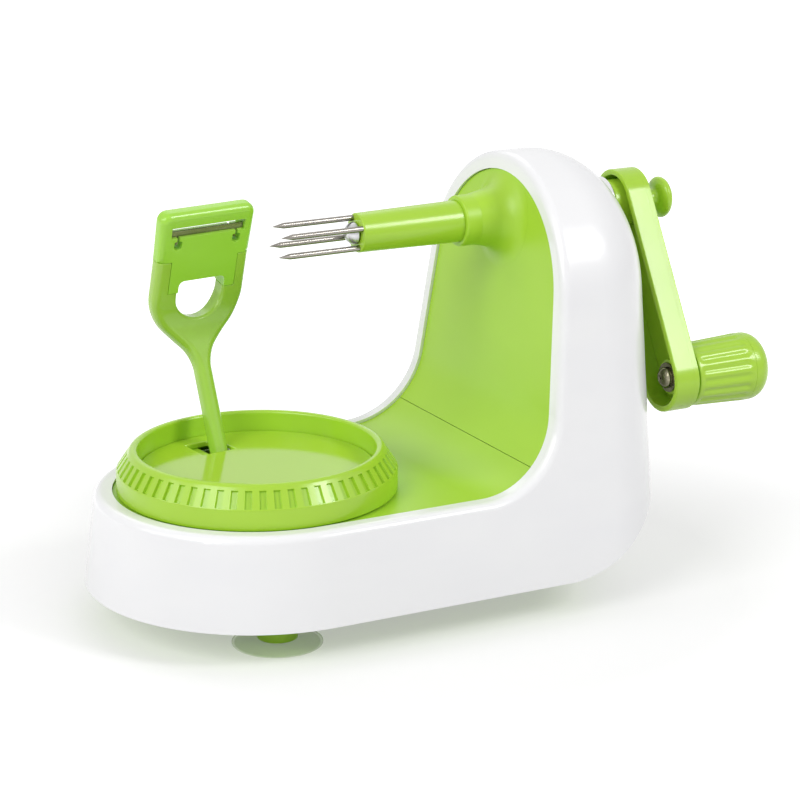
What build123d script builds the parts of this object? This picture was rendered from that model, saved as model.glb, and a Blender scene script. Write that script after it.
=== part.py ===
"""Hand-cranked apple peeler: a white body with green panels, a fork spindle turned by a crank,
and a slow turntable that carries the sprung peeling arm round the fruit.

Millimetres, +Z up. +X points to the crank, the floor is Z = 0, and the origin is the middle of
the whole peeler's footprint.
"""

import os
from math import acos, cos, degrees, pi, radians, sin, sqrt, tan

from build123d import *

os.makedirs("parts", exist_ok=True)

# Fits and clearances
running_gap = 0.05
seat_gap = 0.02
panel_gap = 0.2
moving_gap = 0.4

# White body shell
base_half_width = 57.7
shell_bottom = 12.4
shell_draft = 7.2
shell_wall = 2.5
rim_width = 5.8
rim_round = 2.8
deck_rim_height = 43.4
axis_height = 124.7
tower_rise = 21.5
sweep_radius = 27.0
tower_lean = 5.9
tower_reach = 53.8
rear_corner_radius = 26.0
heel_radius = 20.0
foot_corner_angle = 30.0
foot_corner_radius = 30.0
rear_clearance = 0.9
rear_boss_radius = 9.5
rear_boss_height = 0.6

# Green panels let into the shell
panel_recess = 1.0
panel_thickness = 2.0
ledge_width = 2.0
ledge_thickness = 1.6
seam_angle = 45.0

# Base cover, feet and cover screws
cover_lip = 1.0
cover_thickness = 3.0
cover_corner = 6.0
cup_radius = 14.9
cup_height = 4.0
cup_lip = 0.9
cup_post_radius = 6.7
cup_stud_radius = 2.5
cup_stud_length = 5.0
front_cup_x = -8.0
front_cup_y = 31.0
rear_cup_x = 98.0
boss_radius = 4.0
boss_height = 18.0
boss_inset = 8.0
front_boss_x = 8.0
rear_boss_x = 76.0
screw_radius = 1.5
screw_head_radius = 2.8
screw_head_height = 1.8
screw_depth = 12.0

# Gears
module = 1.25
crown_module = 1.0
pressure_angle = 20.0
addendum_share = 0.8
dedendum_share = 1.05
backlash = 0.12
pinion_teeth = 14
idler_teeth = 28
compound_teeth = 42
turntable_teeth = 56
crown_teeth = 28
idler_bearing = 10.0
crown_face = 2.4
crown_tooth_length = 2.64
crown_backlash = 0.3
crown_tooth_width = 1.0
crown_thickness = 4.0
crown_rim = 1.7
gear_height = 5.0
lower_gear_z = 24.0
upper_gear_z = 33.0
upper_gear_height = 4.0
gear_hub_radius = 5.5

# Upright shaft and its bracket
shaft_radius = 3.0
shaft_boss_radius = 4.8
bracket_drop = 4.15
bracket_thickness = 3.0
bracket_half_width = 13.0
bracket_flange_drop = 9.0
bracket_post_radius = 3.5
bracket_post_y = 9.0
bracket_stand_off = 3.0
bracket_screw_radius = 1.2

# Axles under the deck
axle_radius = 4.0
compound_pin_radius = 3.0
idler_pin_radius = 2.5
pin_boss_radius = 6.0

# Fork spindle
spindle_radius = 4.5
ejector_rod_radius = 1.8
sleeve_mouth = 37.0
sleeve_mouth_radius = 6.6
sleeve_root_radius = 7.1
sleeve_root = 75.2
sleeve_socket = 60.0
tine_radius = 1.0
tine_root_radius = 0.8
tine_circle = 5.2
tine_reach = 29.5
tine_point = 4.0
tine_grip = 7.5
tine_angle = 64.0
tine_count = 4
neck_radius = 8.3
neck_ring = 3.4
neck_root_radius = 12.5
bush_wall = 2.0
bush_flange = 1.6
bush_flange_thickness = 0.8

# Ejector
ejector_travel = 7.0
ejector_dome_radius = 3.8
ejector_dome_socket = 2.0
guide_length = 6.0
spring_length = 10.4
spring_radius = 3.2
spring_bore = 2.3
collar_length = 2.0
knob_radius = 7.2
knob_thickness = 4.2
knob_neck_radius = 3.0

# Crank and grip
crank_gap = 5.0
crank_depth = 9.1
crank_wall = 2.0
crank_end_radius = 11.5
crank_length = 63.6
crank_angle = 30.2
crank_hub_radius = 8.0
crank_socket = 5.0
grip_gap = 0.9
grip_radius = 11.7
grip_length = 22.4
grip_taper = 0.9
grip_flutes = 18
grip_flute_radius = 1.1
grip_axle_radius = 5.0
grip_axle_flange = 2.0
grip_cap_length = 7.0
grip_cap_round = 5.2
grip_boss_radius = 6.0
grip_boss_length = 3.1
washer_radius = 5.1
washer_thickness = 0.8
grip_screw_radius = 2.0
grip_screw_head_radius = 3.6
grip_screw_head = 2.4

# Turntable
table_radius = 46.5
table_bottom = 42.9
table_band_top = 49.6
table_rim_radius = 41.6
table_top = 57.0
table_rim_width = 2.2
table_wall = 2.5
table_floor_z = 46.0
table_floor_thickness = 2.0
table_hub_radius = 11.0
table_spigot_radius = 7.0
table_flutes = 60
table_flute_radius = 1.3
table_flute_depth = 0.75
table_cover_thickness = 2.0
table_screw_circle = 8.9
table_screw_radius = 1.1
table_screw_count = 3

# Peeling arm
arm_angle = 96.5
arm_pivot_radius = 24.0
arm_pivot_z = 46.5
arm_bend_radius = 40.8
arm_bend_z = 91.8
arm_bend_round = 24.0
arm_top_radius = 29.2
arm_top_z = 132.0
arm_thickness = 6.2
arm_stem_width = 5.6
arm_hub_radius = 2.7
arm_fork_z = 79.5
arm_fork_width = 34.8
arm_fork_inner_round = 8.0
arm_fork_outer_round = 14.0
arm_pin_radius = 1.2
arm_pin_length = 16.0
arm_slot_width = 10.0
arm_slot_inner = 20.2
arm_lug_length = 7.0
arm_lug_depth = 2.4
arm_spring_radius = 2.4
arm_spring_width = 1.6
eye_width = 17.6
eye_height = 14.8
head_tongue_width = 25.2
head_height = 17.0
head_tongue_length = 11.5
head_eye_depth = 4.0
head_top_width = 35.8
head_corner = 3.5
window_width = 28.0
window_drop = 8.4
window_height = 3.6
keyhole_radius = 1.5
keyhole_drop = 2.8
keyhole_x = 11.1
keyhole_slot = 1.0
blade_width = 1.9
blade_thickness = 0.6
blade_set_back = 1.0

# Gear centres, measured from the turntable's axis
compound_reach = module * (turntable_teeth + pinion_teeth) / 2
idler_distance = module * (compound_teeth + idler_teeth) / 2
shaft_distance = module * (idler_teeth + pinion_teeth) / 2
idler_reach = compound_reach + idler_distance * cos(radians(idler_bearing))
idler_y = idler_distance * sin(radians(idler_bearing))
shaft_reach = idler_reach + sqrt(shaft_distance**2 - idler_y**2)
crown_radius = crown_module * crown_teeth / 2
crown_disc_radius = crown_radius + crown_rim
spindle_pinion_radius = crown_module * pinion_teeth / 2

# Lengths along X from the turntable's axis
rear_reach = shaft_reach + crown_disc_radius + rear_clearance + shell_wall
crank_front_reach = rear_reach + crank_gap
crank_outer_reach = crank_front_reach + crank_depth
grip_start_reach = crank_outer_reach + grip_gap
grip_end_reach = grip_start_reach + grip_length + grip_cap_length

# Places along X, with the origin midway between the front wall and the grip's end
turntable_x = (base_half_width - grip_end_reach) / 2
compound_x = turntable_x + compound_reach
idler_x = turntable_x + idler_reach
shaft_x = turntable_x + shaft_reach
shell_rear = turntable_x + rear_reach
sweep_x = shaft_x - tower_reach
crank_front = turntable_x + crank_front_reach
crank_outer = turntable_x + crank_outer_reach
grip_start = turntable_x + grip_start_reach
grip_end = turntable_x + grip_end_reach
mouth_x = turntable_x + sleeve_mouth
root_x = turntable_x + sleeve_root
socket_x = turntable_x + sleeve_socket
neck_x = root_x + moving_gap

# Shapes that follow from the sizes above
overlap = 1.0
soft_step = 0.15
touching = 0.01
nearly_one = 0.999
tower_top = axis_height + tower_rise
draft = radians(shell_draft)
lean = radians(tower_lean)
arch_radius = (base_half_width * cos(draft) - (tower_top - shell_bottom) * sin(draft)) / (1 - sin(draft))
arch_z = tower_top - arch_radius
sweep_z = deck_rim_height + sweep_radius
panel_back = panel_recess + panel_thickness
ledge_back = panel_back + ledge_thickness
cover_bottom = shell_bottom - cover_lip
cover_top = cover_bottom + cover_thickness
cover_end = shaft_x + shaft_boss_radius + shell_wall
foot_turn = radians(foot_corner_angle)
foot_reach = ((shell_rear - rear_corner_radius) * cos(foot_turn)
              + (base_half_width - rear_corner_radius) * sin(foot_turn) + rear_corner_radius)
cover_corner_reach = foot_reach - foot_corner_radius + cover_corner
rear_bush_start = shell_rear - shell_wall - overlap
rear_face = shell_rear + rear_boss_height
crown_pitch_z = axis_height - spindle_pinion_radius
crown_root_z = crown_pitch_z - dedendum_share * crown_module
crown_bottom_z = crown_root_z - crown_thickness
crown_top_z = crown_pitch_z + addendum_share * crown_module
bracket_z = crown_bottom_z - bracket_drop - bracket_thickness
table_plate_z = table_floor_z + table_floor_thickness

arm_radial = Vector(cos(radians(arm_angle)), sin(radians(arm_angle)), 0)
arm_tangent = Vector(arm_radial.Y, -arm_radial.X, 0)
arm_face_plane = Plane(origin=(turntable_x, 0, 0), x_dir=arm_tangent, z_dir=-arm_radial)
arm_side_plane = Plane(origin=(turntable_x, 0, 0), x_dir=arm_radial, z_dir=arm_tangent)

grip_y = -crank_length * sin(radians(crank_angle))
grip_z = axis_height - crank_length * cos(radians(crank_angle))
bush_radius = spindle_radius + running_gap + bush_wall
arm_shoulder_z = arm_top_z - head_height
head_tongue_z = arm_shoulder_z - head_tongue_length
eye_top_z = head_tongue_z + head_eye_depth
eye_bottom_z = eye_top_z - eye_height
window_bottom_z = arm_top_z - window_drop
keyhole_z = window_bottom_z - keyhole_drop


def half_width(z, inset):
    """Half the body's width at height z, on walls moved in by inset."""
    return (arch_radius - inset + (arch_z - z) * sin(draft)) / cos(draft)


def body_form(inset, open_inset, bottom):
    """Solid of the body's form, with its walls moved in by inset and its deck and tower front by open_inset."""
    radius = arch_radius - inset
    low = half_width(bottom, inset)
    spring_y = radius * cos(draft)
    spring_z = arch_z + radius * sin(draft)
    rear = shell_rear - inset
    cone_top = deck_rim_height + sweep_radius
    heel = heel_radius - inset
    heel_x = rear + soft_step - heel
    heel_z = bottom - soft_step + heel
    open_radius = sweep_radius + open_inset
    lean_x = sweep_x + open_radius * cos(lean)
    lean_z = sweep_z - open_radius * sin(lean)
    arc_angle = radians((90 + tower_lean) / 2)
    arc_point = (sweep_x + open_radius * cos(arc_angle), sweep_z - open_radius * sin(arc_angle))
    head_z = tower_top + sweep_radius
    head_x = lean_x + (head_z - lean_z) * tan(lean)
    front = turntable_x - 2 * base_half_width
    with BuildPart() as form:
        with BuildSketch(Plane.YZ.offset(turntable_x)):
            with BuildLine():
                Line((-low, bottom), (low, bottom))
                Line((low, bottom), (spring_y, spring_z))
                ThreePointArc((spring_y, spring_z), (0, tower_top - inset), (-spring_y, spring_z))
                Line((-spring_y, spring_z), (-low, bottom))
            make_face()
        extrude(amount=rear - turntable_x)
        rear_edges = form.faces().sort_by(Axis.X)[-1].edges().sort_by(Axis.Z)[1:]
        fillet(rear_edges, rear_corner_radius - inset)
        with Locations((turntable_x, 0, (bottom + cone_top) / 2)):
            Cone(low, half_width(cone_top, inset), cone_top - bottom)
        with BuildSketch(Plane.XZ):
            with BuildLine():
                Polyline((front, sweep_z - open_radius), (front, bottom - soft_step),
                         (heel_x, bottom - soft_step))
                heel_mid = (heel_x + heel * sin(pi / 4), heel_z - heel * cos(pi / 4))
                ThreePointArc((heel_x, bottom - soft_step), heel_mid, (rear + soft_step, heel_z))
                Polyline((rear + soft_step, heel_z), (rear + soft_step, head_z), (head_x, head_z),
                         (lean_x, lean_z))
                ThreePointArc((lean_x, lean_z), arc_point, (sweep_x, sweep_z - open_radius))
                Line((sweep_x, sweep_z - open_radius), (front, sweep_z - open_radius))
            make_face()
        extrude(amount=2 * base_half_width, both=True, mode=Mode.INTERSECT)
        reach = foot_reach - inset + soft_step
        corner = foot_corner_radius - inset
        corner_x = reach - corner
        corner_z = bottom - soft_step + corner
        for side in (-1, 1):
            with BuildSketch(foot_plane(side)):
                with BuildLine():
                    Polyline((front, bottom - soft_step), (corner_x, bottom - soft_step))
                    corner_mid = (corner_x + corner * sin(pi / 4), corner_z - corner * cos(pi / 4))
                    ThreePointArc((corner_x, bottom - soft_step), corner_mid, (reach, corner_z))
                    Polyline((reach, corner_z), (reach, head_z), (front, head_z), (front, bottom - soft_step))
                make_face()
            extrude(amount=4 * base_half_width, both=True, mode=Mode.INTERSECT)
    return form.part


def foot_plane(side):
    """Upright plane from the middle towards one rear corner of the foot."""
    return Plane(origin=(0, 0, 0), x_dir=(cos(foot_turn), side * sin(foot_turn), 0),
                 z_dir=(side * sin(foot_turn), -cos(foot_turn), 0))


def foot_cut(side, reach):
    """Upright plane across one rear corner of the foot, at a reach from the middle."""
    way = Vector(cos(foot_turn), side * sin(foot_turn), 0)
    return Plane(origin=way * reach, z_dir=way)


def open_slab(edge_inset, outer_depth, inner_depth):
    """Layer under the deck and tower front, between two depths and edge_inset inside the outer wall."""
    block = body_form(edge_inset, outer_depth, shell_bottom)
    core = body_form(edge_inset - overlap, inner_depth, shell_bottom - overlap)
    with BuildPart() as slab:
        add(block)
        add(core, mode=Mode.SUBTRACT)
    return slab.part


def on_open_face(point):
    """True where point lies on the shell's deck rim, its sweep or its leaning tower front."""
    if point.X <= sweep_x:
        distance = point.Z - deck_rim_height
    else:
        across = (point.X - sweep_x) * cos(lean) - (point.Z - sweep_z) * sin(lean)
        along = (point.X - sweep_x) * sin(lean) + (point.Z - sweep_z) * cos(lean)
        distance = (across if along > 0 else sqrt(across**2 + along**2)) - sweep_radius
    return abs(distance) < touching


def runs_along_y(edge):
    """True for a straight edge across the body."""
    return abs(edge.tangent_at(0).Y) > nearly_one and abs(edge.tangent_at(1).Y) > nearly_one


def gear_sketch(teeth, tooth_module, play, phase):
    """Involute spur gear outline about the origin, with a tooth at the angle phase in degrees."""
    pitch_radius = tooth_module * teeth / 2
    base_radius = pitch_radius * cos(radians(pressure_angle))
    tip_radius = pitch_radius + addendum_share * tooth_module
    root_radius = pitch_radius - dedendum_share * tooth_module
    flank_start = max(root_radius, base_radius)
    pitch_half = pi / (2 * teeth) - play / (2 * pitch_radius)
    pitch_involute = tan(radians(pressure_angle)) - radians(pressure_angle)

    def half_angle(radius):
        turn = acos(min(1.0, base_radius / radius))
        return pitch_half + pitch_involute - (tan(turn) - turn)

    def at(radius, angle):
        return (radius * cos(angle), radius * sin(angle))

    flank_middle = (flank_start + tip_radius) / 2
    start_half, middle_half, tip_half = (half_angle(r) for r in (flank_start, flank_middle, tip_radius))
    with BuildSketch() as outline:
        with BuildLine():
            for index in range(teeth):
                centre = radians(phase) + 2 * pi * index / teeth
                following = centre + 2 * pi / teeth
                if flank_start > root_radius:
                    Line(at(root_radius, centre - start_half), at(flank_start, centre - start_half))
                    Line(at(flank_start, centre + start_half), at(root_radius, centre + start_half))
                ThreePointArc(at(flank_start, centre - start_half), at(flank_middle, centre - middle_half),
                              at(tip_radius, centre - tip_half))
                ThreePointArc(at(tip_radius, centre - tip_half), at(tip_radius, centre),
                              at(tip_radius, centre + tip_half))
                ThreePointArc(at(tip_radius, centre + tip_half), at(flank_middle, centre + middle_half),
                              at(flank_start, centre + start_half))
                ThreePointArc(at(root_radius, centre + start_half), at(root_radius, (centre + following) / 2),
                              at(root_radius, following - start_half))
        make_face()
    return outline.sketch


def meshed_phase(direction, phase, teeth, next_teeth):
    """Phase in degrees of the next gear, which lies in the given direction and meshes with this one."""
    offset = (direction - phase) * teeth
    return direction + 180 - (180 - offset) / next_teeth


def upright(x, y, z, radius, height, mode=Mode.ADD):
    """Cylinder along +Z from height z, joined to or cut from the part that is open."""
    with Locations((x, y, z)):
        Cylinder(radius, height, align=(Align.CENTER, Align.CENTER, Align.MIN), mode=mode)


def level(x, y, z, radius, length, mode=Mode.ADD):
    """Cylinder along +X from x, joined to or cut from the part that is open."""
    with Locations((x + length / 2, y, z)):
        Cylinder(radius, length, rotation=(0, 90, 0), mode=mode)


def turned(points, y, z, mode=Mode.ADD):
    """Revolve an outline of (x, radius) points about the line along X through y and z."""
    with BuildSketch(Plane(origin=(0, y, z), x_dir=(1, 0, 0), z_dir=(0, -1, 0))) as profile:
        with BuildLine():
            Polyline(*points, close=True)
        make_face()
    revolve(profile.sketch, axis=Axis((0, y, z), (1, 0, 0)), mode=mode)


def spun(points, x, y, mode=Mode.ADD):
    """Revolve an outline of (radius, z) points about the upright line through x and y."""
    with BuildSketch(Plane(origin=(x, y, 0), x_dir=(1, 0, 0), z_dir=(0, -1, 0))) as profile:
        with BuildLine():
            Polyline(*points, close=True)
        make_face()
    revolve(profile.sketch, axis=Axis((x, y, 0), (0, 0, 1)), mode=mode)


def spur_gear(x, y, z, height, teeth, tooth_module, play, phase):
    """Spur gear with an upright axis, joined to the part that is open."""
    with BuildSketch(Plane.XY.offset(z)) as outline:
        with Locations((x, y)):
            add(gear_sketch(teeth, tooth_module, play, phase))
    extrude(outline.sketch, amount=height)


def arm_strip():
    """Bent strip that gives the arm and its head their thickness."""
    with BuildPart() as strip:
        with BuildSketch(arm_side_plane):
            with BuildLine():
                path = FilletPolyline((arm_pivot_radius, arm_pivot_z), (arm_bend_radius, arm_bend_z),
                                      (arm_top_radius, arm_top_z + overlap), radius=arm_bend_round)
            trace(path, line_width=arm_thickness)
        extrude(amount=base_half_width, both=True)
    return strip.part


cup_places = [(turntable_x + front_cup_x, -front_cup_y), (turntable_x + front_cup_x, front_cup_y),
              (turntable_x + rear_cup_x, 0)]
boss_places = [(turntable_x + x, side * (base_half_width - boss_inset)) for x in (front_boss_x, rear_boss_x)
               for side in (-1, 1)]

# Body shell: white, open under the base and under the panels
with BuildPart() as outer_body:
    add(body_form(0, 0, shell_bottom))
    rim_edges = [edge for edge in outer_body.edges() if not runs_along_y(edge)
                 and all(on_open_face(edge.position_at(share)) for share in (0, 1 / 2, 1))]
    fillet(rim_edges, rim_round)
with BuildPart() as base_mouth:
    add(body_form(shell_wall, ledge_back, shell_bottom - overlap))
    split(bisect_by=Plane.YZ.offset(cover_end + panel_gap), keep=Keep.BOTTOM)
    for side in (-1, 1):
        split(bisect_by=foot_cut(side, cover_corner_reach + panel_gap), keep=Keep.BOTTOM)
panel_pocket = open_slab(rim_width, -overlap, panel_back)
panel_opening = body_form(rim_width + ledge_width, -overlap, shell_bottom + shell_wall)
shell_cavity = body_form(shell_wall, ledge_back, shell_bottom + shell_wall)
with BuildPart() as body_shell:
    add(outer_body.part)
    add(panel_pocket, mode=Mode.SUBTRACT)
    add(panel_opening, mode=Mode.SUBTRACT)
    add(shell_cavity, mode=Mode.SUBTRACT)
    add(base_mouth.part, mode=Mode.SUBTRACT)
    for boss_x, boss_y in boss_places:
        upright(boss_x, boss_y, cover_top, boss_radius, boss_height)
        upright(boss_x, boss_y, cover_top, screw_radius + seat_gap, screw_depth, Mode.SUBTRACT)
    level(shaft_x + crown_radius / 2, 0, axis_height, rear_boss_radius, rear_face - shaft_x - crown_radius / 2)
    upright(shaft_x, 0, bracket_z, crown_disc_radius + rear_clearance / 2,
            crown_top_z + rear_clearance - bracket_z, Mode.SUBTRACT)
    level(shaft_x, 0, axis_height, bush_radius + seat_gap, rear_face - shaft_x, Mode.SUBTRACT)
body_shell.part.label = "body_shell"
export_step(body_shell.part, "parts/body_shell.step")

# Base cover: floor of the body, with the feet's posts below and the axle bosses above
boss_top = lower_gear_z - moving_gap
axle_boss_top = upper_gear_z - moving_gap
with BuildPart() as base_cover:
    add(body_form(shell_wall + panel_gap, 0, cover_bottom))
    split(bisect_by=Plane.XY.offset(cover_top), keep=Keep.BOTTOM)
    split(bisect_by=Plane.YZ.offset(cover_end), keep=Keep.BOTTOM)
    for side in (-1, 1):
        split(bisect_by=foot_cut(side, cover_corner_reach), keep=Keep.BOTTOM)
    for cup_x, cup_y in cup_places:
        upright(cup_x, cup_y, cup_height, cup_post_radius, cover_bottom - cup_height + overlap)
        upright(cup_x, cup_y, cup_height, cup_stud_radius + seat_gap, cup_stud_length + seat_gap, Mode.SUBTRACT)
    for boss_x, boss_y in boss_places:
        upright(boss_x, boss_y, cover_bottom, screw_radius + seat_gap, cover_thickness, Mode.SUBTRACT)
        upright(boss_x, boss_y, cover_bottom, screw_head_radius + seat_gap, screw_head_height, Mode.SUBTRACT)
    upright(turntable_x, 0, cover_bottom + overlap, pin_boss_radius + table_wall,
            axle_boss_top - cover_bottom - overlap)
    upright(turntable_x, 0, cover_top, axle_radius + seat_gap, axle_boss_top, Mode.SUBTRACT)
    upright(compound_x, 0, cover_bottom + overlap, pin_boss_radius, boss_top - cover_bottom - overlap)
    upright(compound_x, 0, cover_top, compound_pin_radius + seat_gap, boss_top, Mode.SUBTRACT)
    upright(idler_x, idler_y, cover_bottom + overlap, pin_boss_radius, boss_top - cover_bottom - overlap)
    upright(idler_x, idler_y, cover_top, idler_pin_radius + seat_gap, boss_top, Mode.SUBTRACT)
    upright(shaft_x, 0, cover_bottom + overlap, shaft_boss_radius, boss_top - cover_bottom - overlap)
    upright(shaft_x, 0, cover_top, shaft_radius + running_gap, boss_top, Mode.SUBTRACT)
base_cover.part.label = "base_cover"
export_step(base_cover.part, "parts/base_cover.step")

# Suction cups: clear dishes pressed into the posts by their studs
with BuildPart() as suction_cups:
    for cup_x, cup_y in cup_places:
        spun([(0, cup_height / 2), (cup_radius - cup_lip, 0), (cup_radius, 0), (cup_radius, cup_lip),
              (cup_post_radius, cup_height), (cup_stud_radius, cup_height),
              (cup_stud_radius, cup_height + cup_stud_length), (0, cup_height + cup_stud_length)], cup_x, cup_y)
suction_cups.part.label = "suction_cups"
export_step(suction_cups.part, "parts/suction_cups.step")

# Screws that hold the base cover to the shell's bosses
with BuildPart() as base_screws:
    for boss_x, boss_y in boss_places:
        upright(boss_x, boss_y, cover_bottom, screw_head_radius, screw_head_height)
        upright(boss_x, boss_y, cover_bottom, screw_radius, cover_thickness + screw_depth - overlap)
base_screws.part.label = "base_screws"
export_step(base_screws.part, "parts/base_screws.step")

# Deck panel and tower panel: one green layer, parted at a seam halfway up the sweep
panel_layer = open_slab(rim_width + panel_gap, panel_recess, panel_back)
panel_core = body_form(0, panel_back, shell_bottom)
seam_turn = radians(seam_angle)
seam_plane = Plane(origin=(sweep_x, 0, sweep_z), x_dir=(0, 1, 0), z_dir=(cos(seam_turn), 0, sin(seam_turn)))
with BuildPart() as deck_panel:
    add(panel_layer)
    split(bisect_by=seam_plane.offset(-panel_gap / 2), keep=Keep.BOTTOM)
    upright(turntable_x, 0, 0, table_hub_radius + overlap, tower_top, Mode.SUBTRACT)
deck_panel.part.label = "deck_panel"
export_step(deck_panel.part, "parts/deck_panel.step")

neck_end = shaft_x - crown_radius
panel_rear = sweep_x + (sweep_radius + panel_back) / cos(lean) + (bracket_z - sweep_z) * tan(lean)
bracket_front = panel_rear + bracket_stand_off
post_z = bracket_z - bracket_flange_drop / 2
with BuildPart() as tower_panel:
    add(panel_layer)
    split(bisect_by=seam_plane.offset(panel_gap / 2), keep=Keep.TOP)
    turned([(neck_x, 0), (neck_x, neck_radius), (neck_x + neck_ring, neck_radius), (neck_end, neck_root_radius),
            (shaft_x, neck_root_radius), (shaft_x, 0)], 0, axis_height)
    add(panel_core, mode=Mode.SUBTRACT)
    level(neck_x - overlap, 0, axis_height, bush_radius + seat_gap, shell_rear - neck_x, Mode.SUBTRACT)
    for side in (-1, 1):
        post_length = bracket_stand_off + panel_thickness
        level(bracket_front - post_length, side * bracket_post_y, post_z, bracket_post_radius, post_length)
        level(bracket_front - bracket_stand_off, side * bracket_post_y, post_z, bracket_screw_radius + seat_gap,
              bracket_stand_off, Mode.SUBTRACT)
tower_panel.part.label = "tower_panel"
export_step(tower_panel.part, "parts/tower_panel.step")

# Bushes that carry the spindle
front_bush_start = neck_x + bush_flange_thickness
front_bush_end = sweep_x + (sweep_radius + panel_recess) / cos(lean) + (axis_height - sweep_z) * tan(lean)
with BuildPart() as front_bush:
    level(front_bush_start, 0, axis_height, bush_radius, front_bush_end - front_bush_start)
    level(front_bush_start, 0, axis_height, spindle_radius + running_gap, front_bush_end, Mode.SUBTRACT)
front_bush.part.label = "front_bush"
export_step(front_bush.part, "parts/front_bush.step")

hub_start = rear_face + bush_flange_thickness + moving_gap
with BuildPart() as rear_bush:
    level(rear_bush_start, 0, axis_height, bush_radius, rear_face - rear_bush_start)
    level(rear_face, 0, axis_height, bush_radius + bush_flange, bush_flange_thickness)
    level(rear_bush_start, 0, axis_height, spindle_radius + running_gap, crank_outer - rear_bush_start,
          Mode.SUBTRACT)
rear_bush.part.label = "rear_bush"
export_step(rear_bush.part, "parts/rear_bush.step")

# Bracket that steadies the upright shaft, screwed to posts behind the tower panel
bracket_end = shaft_x + shaft_radius + 2 * shell_wall
with BuildPart() as shaft_bracket:
    with Locations(((bracket_front + bracket_end) / 2, 0, bracket_z + bracket_thickness / 2)):
        Box(bracket_end - bracket_front, 2 * bracket_half_width, bracket_thickness)
    with Locations((bracket_front + bracket_thickness / 2, 0, bracket_z - bracket_flange_drop / 2)):
        Box(bracket_thickness, 2 * bracket_half_width, bracket_flange_drop)
    upright(shaft_x, 0, bracket_z - overlap, shaft_radius + running_gap, 2 * bracket_thickness, Mode.SUBTRACT)
    for side in (-1, 1):
        level(bracket_front, side * bracket_post_y, post_z, bracket_screw_radius + seat_gap, bracket_thickness,
              Mode.SUBTRACT)
shaft_bracket.part.label = "shaft_bracket"
export_step(shaft_bracket.part, "parts/shaft_bracket.step")

with BuildPart() as bracket_screws:
    for side in (-1, 1):
        level(bracket_front - bracket_stand_off, side * bracket_post_y, post_z, bracket_screw_radius,
              bracket_stand_off + bracket_thickness)
        level(bracket_front + bracket_thickness, side * bracket_post_y, post_z, 2 * bracket_screw_radius,
              bracket_screw_radius)
bracket_screws.part.label = "bracket_screws"
export_step(bracket_screws.part, "parts/bracket_screws.step")

# Fixed axles of the gear train
pinion_top = upper_gear_z + upper_gear_height + moving_gap
with BuildPart() as turntable_axle:
    upright(turntable_x, 0, cover_top, axle_radius, table_plate_z - moving_gap - cover_top)
turntable_axle.part.label = "turntable_axle"
export_step(turntable_axle.part, "parts/turntable_axle.step")

with BuildPart() as compound_pin:
    upright(compound_x, 0, cover_top, compound_pin_radius, pinion_top - cover_top)
compound_pin.part.label = "compound_pin"
export_step(compound_pin.part, "parts/compound_pin.step")

with BuildPart() as idler_pin:
    upright(idler_x, idler_y, cover_top, idler_pin_radius, lower_gear_z + gear_height + moving_gap - cover_top)
idler_pin.part.label = "idler_pin"
export_step(idler_pin.part, "parts/idler_pin.step")

# Spindle: a steel tube from the fork sleeve to the crank
spindle_end = hub_start + crank_socket
with BuildPart() as spindle:
    level(socket_x, 0, axis_height, spindle_radius, spindle_end - socket_x)
    level(socket_x, 0, axis_height, ejector_rod_radius + running_gap, spindle_end - socket_x, Mode.SUBTRACT)
spindle.part.label = "spindle"
export_step(spindle.part, "parts/spindle.step")

# Fork sleeve: green, holds the tines and the ejector's spring
guide_end = mouth_x + guide_length
spring_end = guide_end + spring_length
tine_angles = [tine_angle + 360 * index / tine_count for index in range(tine_count)]
tine_places = [(tine_circle * cos(radians(turn)), axis_height + tine_circle * sin(radians(turn)))
               for turn in tine_angles]
with BuildPart() as fork_sleeve:
    turned([(mouth_x, 0), (mouth_x, sleeve_mouth_radius), (root_x, sleeve_root_radius), (root_x, 0)],
           0, axis_height)
    fillet(fork_sleeve.faces().sort_by(Axis.X)[0].edges(), tine_radius / 2)
    level(mouth_x, 0, axis_height, ejector_rod_radius + running_gap, sleeve_root - sleeve_mouth, Mode.SUBTRACT)
    level(guide_end, 0, axis_height, spring_radius + moving_gap, socket_x - guide_end, Mode.SUBTRACT)
    level(socket_x, 0, axis_height, spindle_radius + seat_gap, root_x - socket_x, Mode.SUBTRACT)
    for tine_y, tine_z in tine_places:
        level(mouth_x, tine_y, tine_z, tine_root_radius + seat_gap, tine_grip, Mode.SUBTRACT)
fork_sleeve.part.label = "fork_sleeve"
export_step(fork_sleeve.part, "parts/fork_sleeve.step")

tip_x = mouth_x - tine_reach
dome_back = mouth_x - moving_gap
dome_front = dome_back - ejector_dome_radius
shank_end = dome_front - moving_gap
with BuildPart() as fork_tines:
    for tine_y, tine_z in tine_places:
        turned([(tip_x, 0), (tip_x + tine_point, tine_radius), (shank_end, tine_radius),
                (shank_end, tine_root_radius), (mouth_x + tine_grip, tine_root_radius),
                (mouth_x + tine_grip, 0)], tine_y, tine_z)
fork_tines.part.label = "fork_tines"
export_step(fork_tines.part, "parts/fork_tines.step")

# Ejector: spring, rod, domed tip and push knob
with BuildPart() as ejector_spring:
    level(guide_end, 0, axis_height, spring_radius, spring_length)
    level(guide_end, 0, axis_height, spring_bore, spring_length, Mode.SUBTRACT)
ejector_spring.part.label = "ejector_spring"
export_step(ejector_spring.part, "parts/ejector_spring.step")

knob_x = crank_outer + ejector_travel + grip_gap
rod_start = dome_back - ejector_dome_socket
with BuildPart() as ejector_rod:
    level(rod_start, 0, axis_height, ejector_rod_radius, knob_x - rod_start)
    level(spring_end, 0, axis_height, spring_radius, collar_length)
ejector_rod.part.label = "ejector_rod"
export_step(ejector_rod.part, "parts/ejector_rod.step")

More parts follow.
